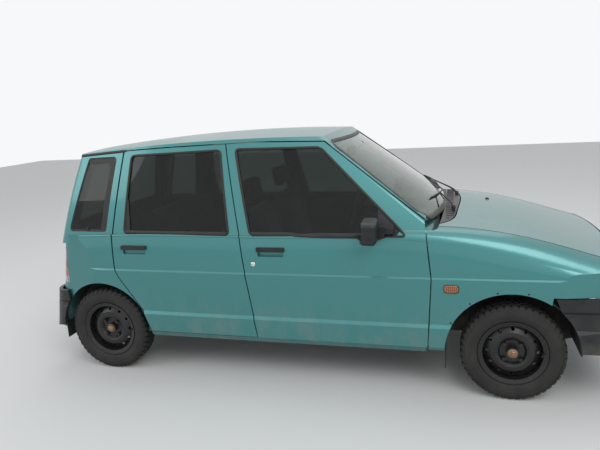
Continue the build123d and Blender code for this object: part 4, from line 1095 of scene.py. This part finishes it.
def domeOn(work, loop, sign, names, high, rings=4):
    # a lens with a rounded edge over an outline in side view, laid on the named nodes
    middle = sum(loop, Vector((0.0, 0.0))) / len(loop)
    foot = sideHit(names, *middle, sign)[0]
    rows = []
    for step in range(rings + 1):
        angle = step / rings * pi / 2
        share, rise = 1 - domeTaper * (1 - cos(angle)), high * sin(angle) - domeSunk
        points = [middle + (p - middle) * share for p in loop]
        rows.append([work.verts.new((p.x, foot.y + sign * rise, p.y)) for p in points])
    sweep(work, rows)


for side, sign in bodySides:
    newPiece(f"archScrews_{side}", archScrewsOn, sign, skin="rubber", slot="black_plastic")
for side, sign in bodySides:
    for part, (skin, slot, growth, high) in repeaterParts.items():
        loop = roundedLoop(grown(repeaterCorners, growth), 0.017, 6, 3)
        values = (domeOn, loop, sign, ["indicators", "front_fenders"], high)
        newPiece(f"repeater{part}_{side}", *values, skin=skin, slot=slot)


def fuelFlapEdge(work):
    rail = railOn(roundedLoop(fuelFlap, 0.020), fromSide(1), (0, -1, 0), ["side_frames"])
    strip(work, rail, 0.0036, 0.0007, True)
    lathe(work, fuelLockProfile, *sideHit(["side_frames"], fuelLock["x"], fuelLock["z"], 1), 20)


def tailgateHandle(work):
    t = tailHandle
    spots = [Vector((-t["half"] + 2 * t["half"] * step / 20, t["z"])) for step in range(21)]
    strip(work, railOn(spots, fromEnd(rearReach), (1, 0, 0), ["tailgate"]), t["wide"], t["high"], False)
    place = hit(["tailgate"], (rearReach, 0.0, t["z"] + t["lock"]), (1, 0, 0))
    lathe(work, tailLockProfile, *place, 24)


def plateLamps(work):
    t = tailHandle
    for y in t["lamps"]:
        place = hit(["tailgate"], (rearReach, y, t["z"]), (1, 0, 0))[0]
        low = place + Vector((-0.015, -t["lampHalf"], -t["wide"] / 2 - 0.003))
        box(work, low, place + Vector((-0.003, t["lampHalf"], -t["wide"] / 2 + 0.006)), 0.002)


newPiece("fuelFlapEdge", fuelFlapEdge, skin="rubber")
newPiece("tailgateHandle", tailgateHandle, skin="plastic", body="tailgate")
newPiece("plateLamps", plateLamps, skin="headlamp", body="tailgate")

# Blank plates in their frames: body, place (x, z) and facing
plate = dict(size=(0.520, 0.112), frame=0.008, thick=0.004, edge=0.0012)
plates = dict(frontPlate=("shell", 1.6665, 0.430, 1), rearPlate=("tailgate", -1.622, 0.628, -1))


def plateCorners(x, z, facing, inset):
    half, tall = plate["size"][0] / 2 - inset, plate["size"][1] / 2 - inset
    low, high = sorted((x, x + facing * plate["thick"]))
    return (low, -half, z - tall), (high, half, z + tall), plate["edge"]


for name, (body, x, z, facing) in plates.items():
    surround = plateCorners(x, z, facing, -plate["frame"])
    newPiece(f"{name}Frame", box, *surround, skin="plastic", body=body)
    face = plateCorners(x + facing * plate["thick"], z, facing, 0.0)
    newPiece(name, box, *face, skin="plate", body=body)
print("outside details ready")

# Seats: each CAD block becomes a filled cushion, inflated as cloth, then sewn
seatCloth = dict(
    voxel=0.012, pressure=4.0, frames=20, cap=0.020, shrink=0.007, seam=0.006, seamWidth=0.010, spare=0.004,
)
# sewn lines: wide cushions in thirds, single ones beside the middle, and one line across
benchWidth = 0.6
seatWidth = 0.3
cushionFills = dict(front_seats=0.7, rear_seat=0.65)


def solidIslands(name):
    # the separate solids of a node, each as a mesh of its own
    work = bmesh.new()
    work.from_mesh(nodes[name].data)
    bmesh.ops.remove_doubles(work, verts=work.verts, dist=1e-5)
    left = set(work.verts)
    islands = []
    while left:
        islands.append(islandOf([left.pop()]))
        left -= islands[-1]
    meshes = []
    for island in islands:
        single = bmesh.new()
        twin = {vert: single.verts.new(vert.co) for vert in island}
        faces = {face for vert in island for face in vert.link_faces}
        for face in faces:
            single.faces.new([twin[vert] for vert in face.verts])
        bmesh.ops.recalc_face_normals(single, faces=single.faces)
        mesh = bpy.data.meshes.new(name)
        single.to_mesh(mesh)
        single.free()
        meshes.append(mesh)
    work.free()

    def middle(mesh):
        return tuple(round(sum(v.co[k] for v in mesh.vertices) / len(mesh.vertices), 2) for k in (1, 2, 0))

    return sorted(meshes, key=middle)


def applyModifiers(item):
    graph = bpy.context.evaluated_depsgraph_get()
    mesh = bpy.data.meshes.new_from_object(item.evaluated_get(graph))
    item.modifiers.clear()
    item.data = mesh


def inflate(item):
    start = [vert.co.copy() for vert in item.data.vertices]
    cloth = item.modifiers.new("filling", "CLOTH")
    cloth.settings.use_pressure = True
    cloth.settings.uniform_pressure_force = seatCloth["pressure"]
    cloth.settings.effector_weights.gravity = 0.0
    cloth.settings.quality = 4
    cloth.point_cache.frame_start = 1
    cloth.point_cache.frame_end = seatCloth["frames"]
    scene = bpy.context.scene
    for number in range(1, seatCloth["frames"] + 1):
        scene.frame_set(number)
    applyModifiers(item)
    scene.frame_set(1)
    for vert, before in zip(item.data.vertices, start):
        move = vert.co - before
        if move.length > seatCloth["cap"]:
            vert.co = before + move.normalized() * seatCloth["cap"]


def makeCushion(name, mesh):
    points = [vert.co.copy() for vert in mesh.vertices]
    low = Vector([min(p[k] for p in points) for k in range(3)])
    high = Vector([max(p[k] for p in points) for k in range(3)])
    middle, size = (low + high) / 2, high - low
    item = bpy.data.objects.new(name, mesh)
    bpy.context.collection.objects.link(item)
    for vert in mesh.vertices:
        away = vert.co - middle
        vert.co = middle + Vector([away[k] * (1 - 2 * seatCloth["shrink"] / size[k]) for k in range(3)])
    remesh = item.modifiers.new("remesh", "REMESH")
    remesh.mode = "VOXEL"
    remesh.voxel_size = seatCloth["voxel"]
    applyModifiers(item)
    inflate(item)
    smooth = item.modifiers.new("finer", "SUBSURF")
    smooth.levels = 1
    smooth.render_levels = 1
    applyModifiers(item)
    sewn(item, low, middle, size)
    spare = seatCloth["spare"]
    for vert in item.data.vertices:
        vert.co = Vector([min(max(vert.co[k], low[k] - spare), high[k] + spare) for k in range(3)])
    item.data.shade_smooth()
    item.data.materials.clear()
    item.data.materials.append(skins["fabric"])
    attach(item, "shell")
    return item


def sewn(item, low, middle, size):
    # channels pulled in along the seat, with one across it, all round the form
    reach = size.y / 6 if size.y > benchWidth else size.y * 0.26
    lines = [middle.y - reach, middle.y + reach] if size.y > seatWidth else []
    tall = size.z > size.x
    crossAt = (low.z + size.z * 0.68) if tall else (low.x + size.x * 0.66)
    normals = [vert.normal.copy() for vert in item.data.vertices]
    for vert, normal in zip(item.data.vertices, normals):
        gaps = [vert.co.y - line for line in lines]
        if lines and lines[0] < vert.co.y < lines[1]:
            gaps.append((vert.co.z if tall else vert.co.x) - crossAt)
        depth = max((exp(-(gap / seatCloth["seamWidth"]) ** 2) for gap in gaps), default=0.0)
        vert.co -= normal * (depth * seatCloth["seam"])


for node, fill in cushionFills.items():
    for index, mesh in enumerate(solidIslands(node)):
        piece = makeCushion(f"{node}_cushion_{index + 1}", mesh)
        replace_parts(piece, node)
print("seats ready")

# Instruments, vents and knobs on the dashboard
dials = dict(x=0.405, y=(0.235, 0.365), z=0.890, radius=0.045, ticks=11, first=-30, sweep=240, lean=0.12)
vents = dict(y=(-0.44, -0.06, 0.06, 0.455), low=0.800, step=0.011, bars=5, half=0.040, thick=0.002)
knobs = dict(y=(-0.04, 0.0, 0.04), z=0.745)
knobProfile = [(0.0, -0.002), (0.013, -0.002), (0.012, 0.012), (0.010, 0.015), (0.0, 0.015)]
gearLever = dict(foot=(0.330, 0.0, 0.246), knob=(0.270, 0.0, 0.520))
gearKnob = [(0.0, -0.024), (0.010, -0.024), (0.018, -0.010), (0.021, 0.006), (0.015, 0.020), (0.0, 0.024)]
# the lever's boot: share of the lever's length and radius
gearBoot = [(0.0, 0.060), (0.12, 0.046), (0.24, 0.030), (0.36, 0.012)]
insideMirror = dict(z=1.285, drop=0.045, back=0.075, half=0.115, tall=0.030)
mirrorFoot = [(0.0, 0.001), (0.016, 0.001), (0.014, 0.008), (0.0, 0.010)]
belts = dict(x=-0.405, low=0.36, high=1.13, wide=0.046, thick=0.0014, lift=0.003, steps=16)
# the belt's upper anchor and its reel: low and high corner about the belt's ends, rounding
beltAnchor = ((-0.034, -0.012, -0.012), (0.034, 0.012, 0.022), 0.006)
beltReel = ((-0.036, -0.020, -0.05), (0.036, 0.020, 0.012), 0.008)


def dialRings(work):
    r = dials["radius"]
    profile = [(0.0, 0.0), (r, 0.0), (r, 0.010), (r - 0.004, 0.011), (r - 0.005, 0.003), (0.0, 0.003)]
    for y in dials["y"]:
        lathe(work, profile, (dials["x"], y, dials["z"]), (-1, 0, dials["lean"]), 36)


def dialMarks(work):
    for y in dials["y"]:
        for index in range(dials["ticks"]):
            angle = radians(dials["first"] + dials["sweep"] * index / (dials["ticks"] - 1))
            out = Vector((dials["lean"], -cos(angle), sin(angle))).normalized()
            out.x = dials["lean"] * out.z
            start = Vector((dials["x"] - 0.0045, y, dials["z"])) + out * (dials["radius"] - 0.014)
            tube(work, [start, start + out * 0.007], 0.0009, 5)
        needle = Vector((dials["x"] - 0.0050, y, dials["z"]))
        tube(work, [needle, needle + Vector((0, 0.022, -0.016))], [0.0018, 0.0006], 6)


def onDash(y, z):
    return hit(["dashboard"], (0.1, y, z), (1, 0, 0))


def dashControls(work):
    v = vents
    for y in v["y"]:
        for index in range(v["bars"]):
            z = v["low"] + index * v["step"]
            found = onDash(y, z)
            if found:
                x = found[0].x
                low = (x - 0.006, y - v["half"], z - v["thick"])
                box(work, low, (x + 0.004, y + v["half"], z + v["thick"]), 0.001, 1)
    for y in knobs["y"]:
        found = onDash(y, knobs["z"])
        if found:
            lathe(work, knobProfile, found[0], (-1, 0, 0), 20)


def gearStick(work):
    foot, knob = Vector(gearLever["foot"]), Vector(gearLever["knob"])
    tube(work, [foot, foot.lerp(knob, 0.9)], 0.006, 10)
    tube(work, [foot.lerp(knob, share) for share, r in gearBoot], [r for share, r in gearBoot], 16)
    lathe(work, gearKnob, knob, (knob - foot), 24)


def roomMirror(work):
    m = insideMirror
    foot = hit(["windscreen"], (-0.3, 0.0, m["z"]), (1, 0, 0))[0]
    end = foot + Vector((-m["back"], 0, -m["drop"]))
    lathe(work, mirrorFoot, foot, (-1, 0, -0.4), 20)
    arm = [foot + Vector((-0.004, 0, -0.002)), foot.lerp(end, 0.5) + Vector((0, 0, -0.006)), end]
    tube(work, arm, [0.006, 0.005, 0.006], 10)
    low, high = (-0.016, -m["half"], -m["tall"]), (0.006, m["half"], m["tall"])
    box(work, end + Vector(low), end + Vector(high), 0.008, 3)


def seatBeltOn(work, sign):
    b = belts
    spots = [(b["x"], b["low"] + (b["high"] - b["low"]) * step / b["steps"]) for step in range(b["steps"] + 1)]
    found = [cabinHit(["side_frames"], x, z, sign) for x, z in spots]
    rail = [item for item in found if item]
    strip(work, [(p + n * b["lift"], n) for p, n in rail], b["wide"], b["thick"], False)
    for end, (low, high, bevel) in ((rail[-1][0], beltAnchor), (rail[0][0], beltReel)):
        box(work, end + Vector(low), end + Vector(high), bevel, 3)


newPiece("dialRings", dialRings, skin="dial")
newPiece("dialMarks", dialMarks, skin="mark")
newPiece("dashControls", dashControls, skin="cabin")
newPiece("gearLever", gearStick, skin="cabin")
newPiece("insideMirror", roomMirror, skin="cabin")
for side, sign in bodySides:
    newPiece(f"seatBelt_{side}", seatBeltOn, sign, skin="cabin")
print("cabin ready")
